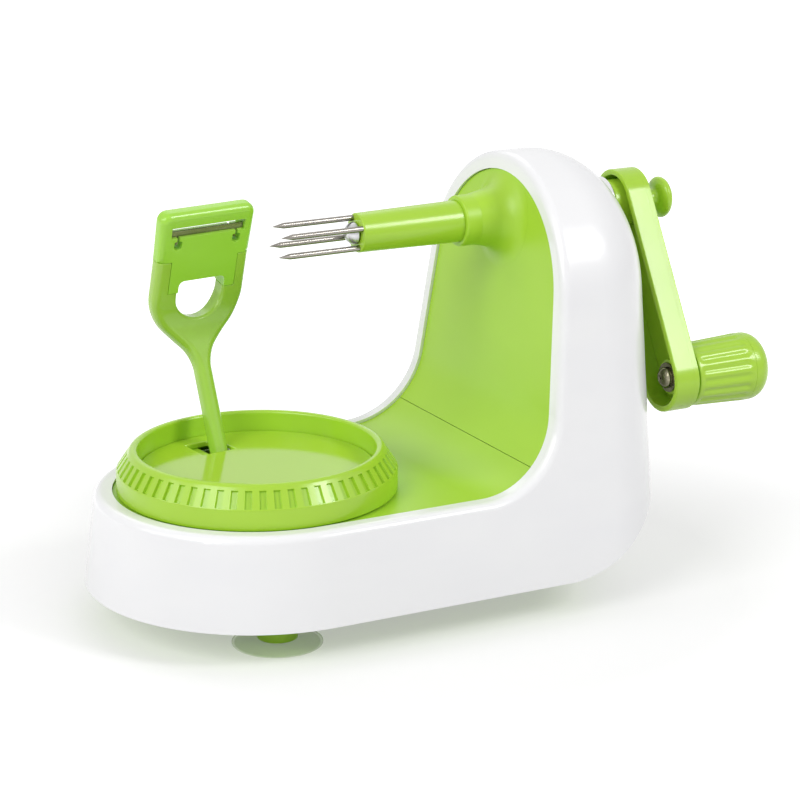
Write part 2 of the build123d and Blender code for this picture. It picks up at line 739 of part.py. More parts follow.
with BuildPart() as ejector_tip:
    with Locations((dome_back, 0, axis_height)):
        Sphere(ejector_dome_radius)
    level(dome_back, 0, axis_height, ejector_dome_radius + overlap, ejector_dome_radius + overlap, Mode.SUBTRACT)
    level(rod_start, 0, axis_height, ejector_rod_radius + seat_gap, ejector_dome_socket, Mode.SUBTRACT)
ejector_tip.part.label = "ejector_tip"
export_step(ejector_tip.part, "parts/ejector_tip.step")

neck_start = spindle_end + ejector_travel + moving_gap
with BuildPart() as ejector_knob:
    level(neck_start, 0, axis_height, knob_neck_radius, knob_x - neck_start)
    level(knob_x, 0, axis_height, knob_radius, knob_thickness)
    fillet(ejector_knob.edges().filter_by(GeomType.CIRCLE).group_by(SortBy.RADIUS)[-1],
           knob_thickness / 2 - running_gap)
    level(neck_start, 0, axis_height, ejector_rod_radius + seat_gap, knob_x - neck_start, Mode.SUBTRACT)
ejector_knob.part.label = "ejector_knob"
export_step(ejector_knob.part, "parts/ejector_knob.step")

# Spindle pinion and the crown gear that it turns
pinion_face_x = shaft_x - crown_radius - crown_face / 2
with BuildPart() as spindle_pinion:
    with BuildSketch(Plane.YZ.offset(pinion_face_x)):
        with Locations((0, axis_height)):
            add(gear_sketch(pinion_teeth, crown_module, crown_backlash, -90 + 180 / pinion_teeth))
    extrude(amount=crown_face)
    level(pinion_face_x, 0, axis_height, spindle_radius + seat_gap, crown_face, Mode.SUBTRACT)
spindle_pinion.part.label = "spindle_pinion"
export_step(spindle_pinion.part, "parts/spindle_pinion.step")

tooth_slope = tan(radians(pressure_angle))
tooth_top = addendum_share * crown_module
tooth_foot = dedendum_share * crown_module
top_half = crown_tooth_width / 2 - tooth_top * tooth_slope
foot_half = crown_tooth_width / 2 + tooth_foot * tooth_slope
with BuildPart() as crown_gear:
    upright(shaft_x, 0, crown_bottom_z, crown_disc_radius, crown_thickness)
    upright(shaft_x, 0, bracket_z + bracket_thickness + moving_gap, gear_hub_radius,
            crown_bottom_z - bracket_z - bracket_thickness - moving_gap)
    for index in range(crown_teeth):
        turn = 2 * pi * index / crown_teeth
        tooth_plane = Plane(origin=(shaft_x, 0, crown_pitch_z), x_dir=(-sin(turn), cos(turn), 0),
                            z_dir=(cos(turn), sin(turn), 0))
        with BuildSketch(tooth_plane.offset(crown_radius - crown_tooth_length / 2)):
            Polygon((-foot_half, -tooth_foot), (foot_half, -tooth_foot), (top_half, tooth_top),
                    (-top_half, tooth_top), align=None)
    extrude(amount=crown_tooth_length)
    upright(shaft_x, 0, bracket_z, shaft_radius + seat_gap, tower_top - bracket_z, Mode.SUBTRACT)
crown_gear.part.label = "crown_gear"
export_step(crown_gear.part, "parts/crown_gear.step")

# Upright drive shaft and its pinion
with BuildPart() as drive_shaft:
    upright(shaft_x, 0, cover_top + running_gap, shaft_radius, crown_root_z - cover_top - running_gap)
drive_shaft.part.label = "drive_shaft"
export_step(drive_shaft.part, "parts/drive_shaft.step")

# Gear phases, worked out from the turntable gear to the upright shaft
compound_phase = meshed_phase(0, 0, turntable_teeth, pinion_teeth)
idler_phase = meshed_phase(idler_bearing, compound_phase, compound_teeth, idler_teeth)
shaft_bearing = -degrees(acos((shaft_reach - idler_reach) / shaft_distance))
shaft_phase = meshed_phase(shaft_bearing, idler_phase, idler_teeth, pinion_teeth)

with BuildPart() as shaft_pinion:
    spur_gear(shaft_x, 0, lower_gear_z, gear_height, pinion_teeth, module, backlash, shaft_phase)
    upright(shaft_x, 0, lower_gear_z + gear_height, gear_hub_radius, gear_height)
    upright(shaft_x, 0, lower_gear_z, shaft_radius + seat_gap, 2 * gear_height, Mode.SUBTRACT)
shaft_pinion.part.label = "shaft_pinion"
export_step(shaft_pinion.part, "parts/shaft_pinion.step")

with BuildPart() as idler_gear:
    spur_gear(idler_x, idler_y, lower_gear_z, gear_height, idler_teeth, module, backlash, idler_phase)
    upright(idler_x, idler_y, lower_gear_z, idler_pin_radius + running_gap, gear_height, Mode.SUBTRACT)
idler_gear.part.label = "idler_gear"
export_step(idler_gear.part, "parts/idler_gear.step")

with BuildPart() as compound_gear:
    spur_gear(compound_x, 0, lower_gear_z, gear_height, compound_teeth, module, backlash, compound_phase)
    spur_gear(compound_x, 0, lower_gear_z + gear_height, pinion_top - moving_gap - lower_gear_z - gear_height,
              pinion_teeth, module, backlash, compound_phase)
    upright(compound_x, 0, lower_gear_z, compound_pin_radius + running_gap, pinion_top, Mode.SUBTRACT)
compound_gear.part.label = "compound_gear"
export_step(compound_gear.part, "parts/compound_gear.step")

with BuildPart() as turntable_gear:
    spur_gear(turntable_x, 0, upper_gear_z, upper_gear_height, turntable_teeth, module, backlash, 0)
    upright(turntable_x, 0, upper_gear_z, table_spigot_radius + seat_gap, upper_gear_height, Mode.SUBTRACT)
    with Locations((turntable_x, 0, upper_gear_z)):
        with PolarLocations(table_screw_circle, table_screw_count):
            Cylinder(table_screw_radius + seat_gap, 3 * upper_gear_height, mode=Mode.SUBTRACT)
turntable_gear.part.label = "turntable_gear"
export_step(turntable_gear.part, "parts/turntable_gear.step")

# Turntable dish: fluted rim, floor with the arm's slot and lugs, and a hub through the deck
hub_foot = upper_gear_z + upper_gear_height
plate_radius = table_rim_radius - table_rim_width
slot_length = table_radius - arm_slot_inner
slot_middle = arm_slot_inner + slot_length / 2
lug_y = arm_slot_width / 2 + table_wall / 2
cone_rise = table_top - table_band_top
cone_run = table_radius - table_rim_radius
cone_length = sqrt(cone_rise**2 + cone_run**2)
flute_tilt = degrees(acos(cone_rise / cone_length))
flute_offset = table_flute_radius - table_flute_depth
flute_circle = table_radius - cone_run / 2 + flute_offset * cone_rise / cone_length
flute_z = table_band_top + cone_rise / 2 + flute_offset * cone_run / cone_length
with BuildPart() as turntable_dish:
    spun([(axle_radius + running_gap, table_plate_z), (plate_radius, table_plate_z), (plate_radius, table_top),
          (table_rim_radius, table_top), (table_radius, table_band_top), (table_radius, table_bottom),
          (table_radius - table_wall, table_bottom), (table_radius - table_wall, table_floor_z),
          (table_hub_radius, table_floor_z), (table_hub_radius, hub_foot), (table_spigot_radius, hub_foot),
          (table_spigot_radius, upper_gear_z), (axle_radius + running_gap, upper_gear_z)], turntable_x, 0)
    for side in (-1, 1):
        with BuildSketch(arm_face_plane.offset(-arm_pivot_radius - arm_lug_length / 2)):
            with Locations((side * lug_y, table_floor_z - arm_lug_depth / 2)):
                Rectangle(table_wall, arm_lug_depth)
        extrude(amount=arm_lug_length)
    with BuildSketch(Plane(origin=(turntable_x, 0, table_bottom), x_dir=arm_tangent, z_dir=(0, 0, 1))):
        with Locations((0, slot_middle - (table_radius - plate_radius) / 2)):
            Rectangle(arm_slot_width, plate_radius - arm_slot_inner)
    extrude(amount=table_plate_z - table_bottom, mode=Mode.SUBTRACT)
    with BuildSketch(arm_side_plane.offset(-arm_pin_length / 2)):
        with Locations((arm_pivot_radius, arm_pivot_z)):
            Circle(arm_pin_radius + seat_gap)
    extrude(amount=arm_pin_length, mode=Mode.SUBTRACT)
    with Locations((turntable_x, 0, hub_foot)):
        with PolarLocations(table_screw_circle, table_screw_count):
            Cylinder(table_screw_radius + seat_gap, 2 * upper_gear_height + overlap, mode=Mode.SUBTRACT)
    with Locations((turntable_x, 0, flute_z)):
        with PolarLocations(flute_circle, table_flutes):
            Cylinder(table_flute_radius, cone_length - table_flute_radius, rotation=(0, -flute_tilt, 0),
                     mode=Mode.SUBTRACT)
turntable_dish.part.label = "turntable_dish"
export_step(turntable_dish.part, "parts/turntable_dish.step")

with BuildPart() as turntable_cover:
    upright(turntable_x, 0, table_plate_z, plate_radius - panel_gap, table_cover_thickness)
    with BuildSketch(Plane(origin=(turntable_x, 0, table_plate_z), x_dir=arm_tangent, z_dir=(0, 0, 1))):
        with Locations((0, slot_middle)):
            Rectangle(arm_slot_width, slot_length)
    extrude(amount=table_cover_thickness, mode=Mode.SUBTRACT)
turntable_cover.part.label = "turntable_cover"
export_step(turntable_cover.part, "parts/turntable_cover.step")

with BuildPart() as turntable_screws:
    with Locations((turntable_x, 0, hub_foot)):
        with PolarLocations(table_screw_circle, table_screw_count):
            Cylinder(table_screw_radius, 2 * upper_gear_height)
turntable_screws.part.label = "turntable_screws"
export_step(turntable_screws.part, "parts/turntable_screws.step")

# Arm pin and the spring coiled on it
with BuildPart() as arm_pin:
    with BuildSketch(arm_side_plane.offset(-arm_pin_length / 2)):
        with Locations((arm_pivot_radius, arm_pivot_z)):
            Circle(arm_pin_radius)
    extrude(amount=arm_pin_length)
arm_pin.part.label = "arm_pin"
export_step(arm_pin.part, "parts/arm_pin.step")

spring_start = arm_stem_width / 2 + moving_gap / 2
with BuildPart() as arm_spring:
    with BuildSketch(arm_side_plane.offset(spring_start)):
        with Locations((arm_pivot_radius, arm_pivot_z)):
            Circle(arm_spring_radius)
            Circle(arm_pin_radius + running_gap, mode=Mode.SUBTRACT)
    extrude(amount=arm_spring_width)
arm_spring.part.label = "arm_spring"
export_step(arm_spring.part, "parts/arm_spring.step")

# Peeling arm: a bent stem that forks round the eye
strip = arm_strip()
stem_half = arm_stem_width / 2
fork_half = arm_fork_width / 2
tongue_half = head_tongue_width / 2
eye_half = eye_width / 2
fork_rise = fork_half - stem_half
sketch_depth = arm_face_plane.offset(-base_half_width)
with BuildPart() as peeler_arm:
    add(strip)
    with BuildSketch(arm_side_plane):
        with Locations((arm_pivot_radius, arm_pivot_z)):
            Circle(arm_hub_radius)
    extrude(amount=base_half_width, both=True)
    with BuildSketch(sketch_depth):
        with BuildLine():
            FilletPolyline((0, table_bottom), (stem_half, table_bottom), (stem_half, arm_fork_z),
                           (fork_half, arm_fork_z + fork_rise), (fork_half, arm_shoulder_z - panel_gap / 2),
                           (0, arm_shoulder_z - panel_gap / 2),
                           radius=[panel_gap, arm_fork_inner_round, arm_fork_outer_round, panel_gap])
            Line((0, arm_shoulder_z - panel_gap / 2), (0, table_bottom))
        make_face()
        mirror(about=Plane.YZ)
        with Locations((0, eye_bottom_z + eye_half)):
            Circle(eye_half, mode=Mode.SUBTRACT)
            Rectangle(eye_width, arm_top_z - eye_bottom_z, align=(Align.CENTER, Align.MIN), mode=Mode.SUBTRACT)
        with Locations((0, head_tongue_z - panel_gap / 2)):
            Rectangle(head_tongue_width + panel_gap, arm_top_z, align=(Align.CENTER, Align.MIN),
                      mode=Mode.SUBTRACT)
    extrude(amount=base_half_width, mode=Mode.INTERSECT)
    with BuildSketch(arm_side_plane):
        with Locations((arm_pivot_radius, arm_pivot_z)):
            Circle(arm_pin_radius + running_gap)
    extrude(amount=base_half_width, both=True, mode=Mode.SUBTRACT)
peeler_arm.part.label = "peeler_arm"
export_step(peeler_arm.part, "parts/peeler_arm.step")

with BuildPart() as blade_head:
    add(strip)
    with BuildSketch(sketch_depth) as head_outline:
        with BuildLine():
            Polyline((-tongue_half, head_tongue_z), (tongue_half, head_tongue_z), (tongue_half, arm_shoulder_z),
                     (fork_half, arm_shoulder_z), (head_top_width / 2, arm_top_z),
                     (-head_top_width / 2, arm_top_z), (-fork_half, arm_shoulder_z),
                     (-tongue_half, arm_shoulder_z), close=True)
        make_face()
        fillet(head_outline.vertices().group_by(Axis.Y)[-1], head_corner)
        with Locations((0, head_tongue_z)):
            Rectangle(eye_width, eye_top_z - head_tongue_z, align=(Align.CENTER, Align.MIN), mode=Mode.SUBTRACT)
        with Locations((0, window_bottom_z)):
            Rectangle(window_width, window_height, align=(Align.CENTER, Align.MIN), mode=Mode.SUBTRACT)
        for side in (-1, 1):
            with Locations((side * keyhole_x, keyhole_z)):
                Circle(keyhole_radius, mode=Mode.SUBTRACT)
                Rectangle(keyhole_slot, keyhole_drop + running_gap, align=(Align.CENTER, Align.MIN),
                          mode=Mode.SUBTRACT)
    extrude(amount=base_half_width, mode=Mode.INTERSECT)
blade_head.part.label = "blade_head"
export_step(blade_head.part, "parts/blade_head.step")

head_slope = (arm_bend_radius - arm_top_radius) / (arm_top_z - arm_bend_z)
blade_radius = arm_top_radius + window_drop * head_slope
blade_face = blade_radius - arm_thickness / 2 + blade_set_back
with BuildPart() as blade:
    with BuildSketch(arm_face_plane.offset(-blade_face)):
        with Locations((0, window_bottom_z + seat_gap)):
            Rectangle(window_width - panel_gap, blade_width, align=(Align.CENTER, Align.MIN))
        for side in (-1, 1):
            with Locations((side * keyhole_x, keyhole_z)):
                Rectangle(keyhole_slot - panel_gap, keyhole_drop + overlap, align=(Align.CENTER, Align.MIN))
    extrude(amount=-blade_thickness)
blade.part.label = "blade"
export_step(blade.part, "parts/blade.step")

# Crank: a channel open to the body, with a hub for the spindle and a boss for the grip
crank_line = Vector(0, -sin(radians(crank_angle)), -cos(radians(crank_angle)))
crank_plane = Plane(origin=(crank_front, 0, axis_height), x_dir=crank_line, z_dir=(1, 0, 0))
crank_floor = crank_outer - crank_wall
grip_boss_start = crank_floor - grip_boss_length
with BuildPart() as crank_arm:
    with BuildSketch(crank_plane):
        with Locations((crank_length / 2, 0)):
            SlotCenterToCenter(crank_length, 2 * crank_end_radius)
    extrude(amount=crank_depth)
    with BuildSketch(crank_plane):
        with Locations((crank_length / 2, 0)):
            SlotCenterToCenter(crank_length, 2 * (crank_end_radius - crank_wall))
    extrude(amount=crank_depth - crank_wall, mode=Mode.SUBTRACT)
    level(hub_start, 0, axis_height, crank_hub_radius, crank_floor - hub_start + running_gap)
    level(grip_boss_start, grip_y, grip_z, grip_boss_radius, grip_boss_length + running_gap)
    level(hub_start, 0, axis_height, spindle_radius + seat_gap, spindle_end - hub_start, Mode.SUBTRACT)
    level(hub_start, 0, axis_height, knob_neck_radius + running_gap, crank_outer - hub_start, Mode.SUBTRACT)
    level(grip_boss_start, grip_y, grip_z, grip_screw_radius + seat_gap, crank_outer - grip_boss_start,
          Mode.SUBTRACT)
crank_arm.part.label = "crank_arm"
export_step(crank_arm.part, "parts/crank_arm.step")

# Grip axle, and the screw and washer that hold it to the crank
grip_cap_x = grip_start + grip_length
axle_end = grip_cap_x - moving_gap - overlap
flange_radius = grip_axle_radius + grip_axle_flange
with BuildPart() as grip_axle:
    level(crank_outer, grip_y, grip_z, grip_axle_radius, axle_end - crank_outer)
    level(axle_end - grip_axle_flange, grip_y, grip_z, flange_radius, grip_axle_flange)
    level(crank_outer, grip_y, grip_z, grip_screw_radius + seat_gap, grip_length / 2, Mode.SUBTRACT)
grip_axle.part.label = "grip_axle"
export_step(grip_axle.part, "parts/grip_axle.step")

washer_x = grip_boss_start - washer_thickness
with BuildPart() as grip_washer:
    level(washer_x, grip_y, grip_z, washer_radius, washer_thickness)
    level(washer_x, grip_y, grip_z, grip_screw_radius + seat_gap, washer_thickness, Mode.SUBTRACT)
grip_washer.part.label = "grip_washer"
export_step(grip_washer.part, "parts/grip_washer.step")

with BuildPart() as grip_screw:
    level(washer_x, grip_y, grip_z, grip_screw_radius, crank_outer + grip_length / 2 - overlap - washer_x)
    level(washer_x - grip_screw_head, grip_y, grip_z, grip_screw_head_radius, grip_screw_head)
grip_screw.part.label = "grip_screw"
export_step(grip_screw.part, "parts/grip_screw.step")

# Grip: fluted, turns on its axle, closed by a rounded cap
pocket_x = axle_end - grip_axle_flange - moving_gap
with BuildPart() as grip:
    turned([(grip_start, 0), (grip_start, grip_radius - grip_taper), (grip_cap_x, grip_radius),
            (grip_cap_x, 0)], grip_y, grip_z)
    level(grip_start, grip_y, grip_z, grip_axle_radius + running_gap, grip_length, Mode.SUBTRACT)
    level(pocket_x, grip_y, grip_z, flange_radius + moving_gap, grip_cap_x - pocket_x, Mode.SUBTRACT)
    for index in range(grip_flutes):
        turn = 2 * pi * index / grip_flutes
        reach = grip_radius + grip_flute_radius / 2
        level(grip_start, grip_y + reach * cos(turn), grip_z + reach * sin(turn), grip_flute_radius,
              grip_length, Mode.SUBTRACT)
grip.part.label = "grip"
export_step(grip.part, "parts/grip.step")

with BuildPart() as grip_cap:
    level(grip_cap_x, grip_y, grip_z, grip_radius, grip_cap_length)
    fillet(grip_cap.faces().sort_by(Axis.X)[-1].edges(), grip_cap_round)
    level(grip_cap_x - moving_gap, grip_y, grip_z, flange_radius + moving_gap - seat_gap,
          moving_gap + running_gap)
grip_cap.part.label = "grip_cap"
export_step(grip_cap.part, "parts/grip_cap.step")
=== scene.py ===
"""Looks of a hand-cranked apple peeler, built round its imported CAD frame.

Pieces are shaped in millimetres in the part's own frame and become metres when they are finished.
"""

import logging
from dataclasses import dataclass
from enum import Enum
from math import atan2, cos, degrees, pi, radians, sin, sqrt, tan
from typing import Callable, Iterable, Optional, Protocol, Sequence

import bmesh
import bpy
from mathutils import Matrix, Vector


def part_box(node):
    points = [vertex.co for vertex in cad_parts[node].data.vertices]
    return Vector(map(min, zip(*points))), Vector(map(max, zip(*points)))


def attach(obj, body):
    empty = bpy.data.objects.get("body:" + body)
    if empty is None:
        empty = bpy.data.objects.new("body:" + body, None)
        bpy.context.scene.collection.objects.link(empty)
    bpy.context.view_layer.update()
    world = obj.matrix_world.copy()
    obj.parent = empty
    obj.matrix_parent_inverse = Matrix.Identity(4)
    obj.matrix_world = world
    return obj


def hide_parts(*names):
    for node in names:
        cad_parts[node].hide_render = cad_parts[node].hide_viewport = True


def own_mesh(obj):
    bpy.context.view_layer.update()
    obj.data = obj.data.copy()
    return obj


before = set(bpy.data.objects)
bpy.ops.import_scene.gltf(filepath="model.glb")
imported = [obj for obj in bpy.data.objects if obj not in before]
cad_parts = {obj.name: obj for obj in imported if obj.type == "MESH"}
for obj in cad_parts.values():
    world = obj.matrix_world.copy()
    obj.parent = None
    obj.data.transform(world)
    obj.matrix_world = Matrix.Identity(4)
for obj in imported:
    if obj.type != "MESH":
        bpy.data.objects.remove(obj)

LOG = logging.getLogger("apple_peeler")

Pair = tuple[float, float]
Triple = tuple[float, float, float]
Corner = Triple
Colour = Triple
Test = Callable[[Vector], bool]

# A millimetre in metres, and two reaches in millimetres: of a weld, and of what counts as lying on a line.
MM = 0.001
WELD = 0.002
NEAR = 0.1

# Steps across a rounded corner, in one turn of a coil, and round its wire.
CORNER_STEPS = 8
COIL_STEPS = 32
WIRE_STEPS = 10

# Angles between faces in degrees: taken as flat, rounded by default, and shaded as smooth.
FLAT_BELOW = 0.5
SHARP_ABOVE = 30.0
SMOOTH_BELOW = 38.0

ALONG_TO_UP = Matrix.Rotation(radians(-90), 4, "Y")


class Slot(Enum):
    """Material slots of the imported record."""

    WHITE = "white_shell"
    GREEN = "green_plastic"
    CLEAR = "clear_green_rubber"
    STEEL = "steel"
    NYLON = "nylon"


class Body(Enum):
    """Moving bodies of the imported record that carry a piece."""

    HOUSING = "housing"
    SPINDLE = "spindle_set"
    EJECTOR = "ejector"
    GRIP = "grip_set"
    TURNTABLE = "turntable"
    ARM = "arm"


def linear(colour: Colour) -> tuple[float, float, float, float]:
    """Turn a screen colour of 0 to 255 into linear light with full alpha.

    Args:
        colour: Red, green and blue as they look on a screen.

    Returns:
        The same colour as a shader socket takes it.
    """
    shares = [value / 255 for value in colour]
    red, green, blue = (s / 12.92 if s <= 0.04045 else ((s + 0.055) / 1.055) ** 2.4 for s in shares)
    return (red, green, blue, 1.0)


def off_axis(point: Vector) -> float:
    """Distance of a point from the X axis."""
    return Vector((point.y, point.z)).length


def mirrored(corners: Sequence[Corner]) -> list[Corner]:
    """Corners on the other side of X = 0, in the order that carries an outline on."""
    return [(-x, z, rounding) for x, z, rounding in reversed(corners)]


def ring_profile(low: float, high: float, bore: float, radius: float) -> list[Pair]:
    """Profile of a plain ring from low to high along its axis."""
    return [(low, bore), (low, radius), (high, radius), (high, bore)]


class Graph:
    """Node graph of one material, with short calls for what the finishes share."""

    # Most of a noise's values lie between these.
    NOISE_LOW = 0.3
    NOISE_HIGH = 0.7

    def __init__(self, name: str) -> None:
        """Start a material with a Principled shader on its output.

        Args:
            name: The material's name.
        """
        self.material = bpy.data.materials.new(name)
        self.material.use_nodes = True
        self.nodes = self.material.node_tree.nodes
        self.links = self.material.node_tree.links
        self.shader = self.nodes["Principled BSDF"]
        self.place = self.nodes.new("ShaderNodeTexCoord").outputs["Object"]

    def put(self, **values: object) -> None:
        """Set constant values on the shader's own sockets, with _ for a space in their names."""
        for name, value in values.items():
            self.shader.inputs[name.replace("_", " ")].default_value = value

    def noise(self, scale: float, detail: float, stretch: Optional[Triple] = None) -> bpy.types.NodeSocket:
        """Noise on the piece's own place.

        Args:
            scale: Cells to a metre.
            detail: Octaves of finer noise.
            stretch: Scale along each axis, where the noise runs in streaks.

        Returns:
            The noise's value socket.
        """
        node = self.nodes.new("ShaderNodeTexNoise")
        node.inputs["Scale"].default_value = scale
        node.inputs["Detail"].default_value = detail
        source = self.place
        if stretch is not None:
            mapping = self.nodes.new("ShaderNodeMapping")
            mapping.inputs["Scale"].default_value = stretch
            self.links.new(self.place, mapping.inputs["Vector"])
            source = mapping.outputs["Vector"]
        self.links.new(source, node.inputs["Vector"])
        return node.outputs["Fac"]

    def spread(self, value: bpy.types.NodeSocket, low: float, high: float) -> bpy.types.NodeSocket:
        """Map a noise value onto a range.

        Args:
            value: The noise's value socket.
            low: Result at the noise's low end.
            high: Result at its high end.

        Returns:
            The result's socket.
        """
        node = self.nodes.new("ShaderNodeMapRange")
        node.inputs["From Min"].default_value = self.NOISE_LOW
        node.inputs["From Max"].default_value = self.NOISE_HIGH
        node.inputs["To Min"].default_value = low
        node.inputs["To Max"].default_value = high
        self.links.new(value, node.inputs["Value"])
        return node.outputs["Result"]

    def tint(self, value: bpy.types.NodeSocket, dark: Colour, pale: Colour) -> None:
        """Run the base colour from dark to pale by a noise value.

        Args:
            value: The noise's value socket.
            dark: Screen colour at the noise's low end.
            pale: Screen colour at its high end.
        """
        node = self.nodes.new("ShaderNodeValToRGB")
        ends = node.color_ramp.elements
        for end, place, colour in zip(ends, (self.NOISE_LOW, self.NOISE_HIGH), (dark, pale)):
            end.position = place
            end.color = linear(colour)
        self.links.new(value, node.inputs["Fac"])
        self.links.new(node.outputs["Color"], self.shader.inputs["Base Color"])

    def roughen(self, value: bpy.types.NodeSocket, low: float, high: float) -> None:
        """Run the roughness from low to high by a noise value."""
        self.links.new(self.spread(value, low, high), self.shader.inputs["Roughness"])

    def bump(self, value: bpy.types.NodeSocket, strength: float, height: float) -> None:
        """Raise the surface by a noise value.

        Args:
            value: The noise's value socket.
            strength: Share of the full height that shows.
            height: Full height in metres.
        """
        node = self.nodes.new("ShaderNodeBump")
        node.inputs["Strength"].default_value = strength
        node.inputs["Distance"].default_value = height
        self.links.new(value, node.inputs["Height"])
        self.links.new(node.outputs["Normal"], self.shader.inputs["Normal"])


@dataclass(frozen=True)
class MouldedPlastic:
    """Gloss or satin moulded plastic with slight flow in its colour and a fine mould texture."""

    name: str
    slot: Slot
    dark: Colour
    pale: Colour
    smooth: float
    rough: float
    coat: float = 0.0
    glow: float = 0.0
    octaves: float = 2.0
    flow_scale: float = 26.0
    flow_stretch: Triple = (1.0, 1.0, 2.2)
    patch_scale: float = 60.0
    grain_scale: float = 1800.0
    grain_strength: float = 0.03
    grain_height: float = 0.00004
    ior: float = 1.49
    coat_rough: float = 0.08
    glow_spread: Triple = (0.6, 1.0, 0.25)
    glow_reach: float = 0.002

    def material(self) -> bpy.types.Material:
        """Build the plastic's material.

        Returns:
            The new material.
        """
        graph = Graph(self.name)
        flow = graph.noise(self.flow_scale, self.octaves, self.flow_stretch)
        graph.tint(flow, self.dark, self.pale)
        graph.roughen(graph.noise(self.patch_scale, self.octaves), self.smooth, self.rough)
        graph.bump(graph.noise(self.grain_scale, self.octaves), self.grain_strength, self.grain_height)
        graph.put(IOR=self.ior, Coat_Weight=self.coat, Coat_Roughness=self.coat_rough)
        graph.put(Subsurface_Weight=self.glow, Subsurface_Radius=self.glow_spread,
                  Subsurface_Scale=self.glow_reach)
        return graph.material


@dataclass(frozen=True)
class ClearRubber:
    """Soft tinted rubber that lets light through."""

    name: str
    slot: Slot
    dark: Colour
    pale: Colour
    smooth: float
    rough: float
    clarity: float
    cover: float
    octaves: float = 2.0
    flow_scale: float = 60.0
    grain_scale: float = 900.0
    ior: float = 1.25

    def material(self) -> bpy.types.Material:
        """Build the rubber's material.

        Returns:
            The new material.
        """
        graph = Graph(self.name)
        graph.tint(graph.noise(self.flow_scale, self.octaves), self.dark, self.pale)
        graph.roughen(graph.noise(self.grain_scale, self.octaves), self.smooth, self.rough)
        graph.put(IOR=self.ior, Transmission_Weight=self.clarity, Alpha=self.cover)
        return graph.material


@dataclass(frozen=True)
class DrawnSteel:
    """Drawn or ground steel with fine streaks along one axis."""

    name: str
    slot: Slot
    dark: Colour
    pale: Colour
    smooth: float
    rough: float
    streak: Triple
    octaves: float = 4.0
    streak_scale: float = 300.0
    streak_strength: float = 0.03
    streak_height: float = 0.00003

    def material(self) -> bpy.types.Material:
        """Build the steel's material.

        Returns:
            The new material.
        """
        graph = Graph(self.name)
        streaks = graph.noise(self.streak_scale, self.octaves, self.streak)
        graph.tint(streaks, self.dark, self.pale)
        graph.roughen(streaks, self.smooth, self.rough)
        graph.bump(streaks, self.streak_strength, self.streak_height)
        graph.put(Metallic=1.0)
        return graph.material


WHITE_SHELL = MouldedPlastic("white_gloss", Slot.WHITE, dark=(243, 243, 245), pale=(246, 246, 247),
                             smooth=0.22, rough=0.26, coat=0.25)
LIME_GLOSS = MouldedPlastic("lime_gloss", Slot.GREEN, dark=(168, 211, 52), pale=(171, 214, 56),
                            smooth=0.24, rough=0.27, coat=0.12, glow=0.05)
LIME_SATIN = MouldedPlastic("lime_satin", Slot.GREEN, dark=(170, 213, 56), pale=(173, 216, 60),
                            smooth=0.38, rough=0.42, glow=0.05)
LIME_SOFT = MouldedPlastic("lime_soft", Slot.GREEN, dark=(160, 204, 66), pale=(164, 207, 72),
                           smooth=0.20, rough=0.25, coat=0.20, glow=0.06)
# A lighter, greener copy of lime_gloss for the head plate, with the same gloss: painted light that lifts the
# head where it renders darker.
LIME_GLOSS_PAINTED_LIGHT = MouldedPlastic("lime_gloss_painted_light", Slot.GREEN, dark=(163, 220, 64), pale=(166, 222, 70),
                           smooth=0.24, rough=0.27, coat=0.12, glow=0.05)
LIME_POLISHED = MouldedPlastic("lime_polished", Slot.GREEN, dark=(172, 212, 52), pale=(174, 214, 56),
                               smooth=0.09, rough=0.13, glow=0.06)
NYLON = MouldedPlastic("nylon_natural", Slot.NYLON, dark=(224, 220, 206), pale=(234, 231, 219),
                       smooth=0.42, rough=0.52)
CLEAR_CUP = ClearRubber("clear_green", Slot.CLEAR, dark=(214, 238, 176), pale=(224, 244, 190),
                        smooth=0.20, rough=0.24, clarity=0.35, cover=0.42)
# Tine steel darkened well below the turned steel: a painted dark reflection, standing in for the darker
# surroundings the tines mirror.
STEEL_PAINTED_DARK_REFLECTION = DrawnSteel("drawn_steel_painted_dark_reflection", Slot.STEEL, dark=(112, 108, 103), pale=(164, 160, 153),
                        smooth=0.16, rough=0.28, streak=(0.04, 1.0, 1.0))
# Olive-tinted, darker steel for the blade, the grip's screw and its washer: a painted reflection of the green
# plastic round them, and painted shade.
STEEL_PAINTED_GREEN_REFLECTION = DrawnSteel("steel_painted_green_reflection", Slot.STEEL, dark=(126, 122, 100), pale=(150, 146, 124),
                         smooth=0.18, rough=0.30, streak=(0.05, 1.0, 1.0))
PART_STEEL = DrawnSteel("turned_steel", Slot.STEEL, dark=(176, 176, 178), pale=(204, 204, 206),
                        smooth=0.20, rough=0.34, streak=(1.0, 1.0, 0.1))

Finish = MouldedPlastic | ClearRubber | DrawnSteel


class Paintbox:
    """Materials made so far, one for each finish."""

    def __init__(self) -> None:
        """Start with no materials."""
        self.made: dict[str, bpy.types.Material] = {}

    def get(self, finish: Finish) -> bpy.types.Material:
        """Find a finish's material, and make it the first time.

        Args:
            finish: The finish.

        Returns:
            Its material.
        """
        if finish.name not in self.made:
            self.made[finish.name] = finish.material()
        return self.made[finish.name]


PAINTS = Paintbox()


@dataclass(frozen=True)
class NodeBox:
    """Lowest and highest corner of a CAD node, in millimetres."""

    low: Vector
    high: Vector

    @classmethod
    def of(cls, node: str) -> "NodeBox":
        """Read a node's box from the frame."""
        low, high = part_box(node)
        return cls(low / MM, high / MM)

    @property
    def middle(self) -> Vector:
        """Middle of the box."""
        return (self.low + self.high) / 2

    @property
    def radius(self) -> float:
        """Half the height, which is the radius of a node that is turned about a level axis."""
        return (self.high.z - self.low.z) / 2


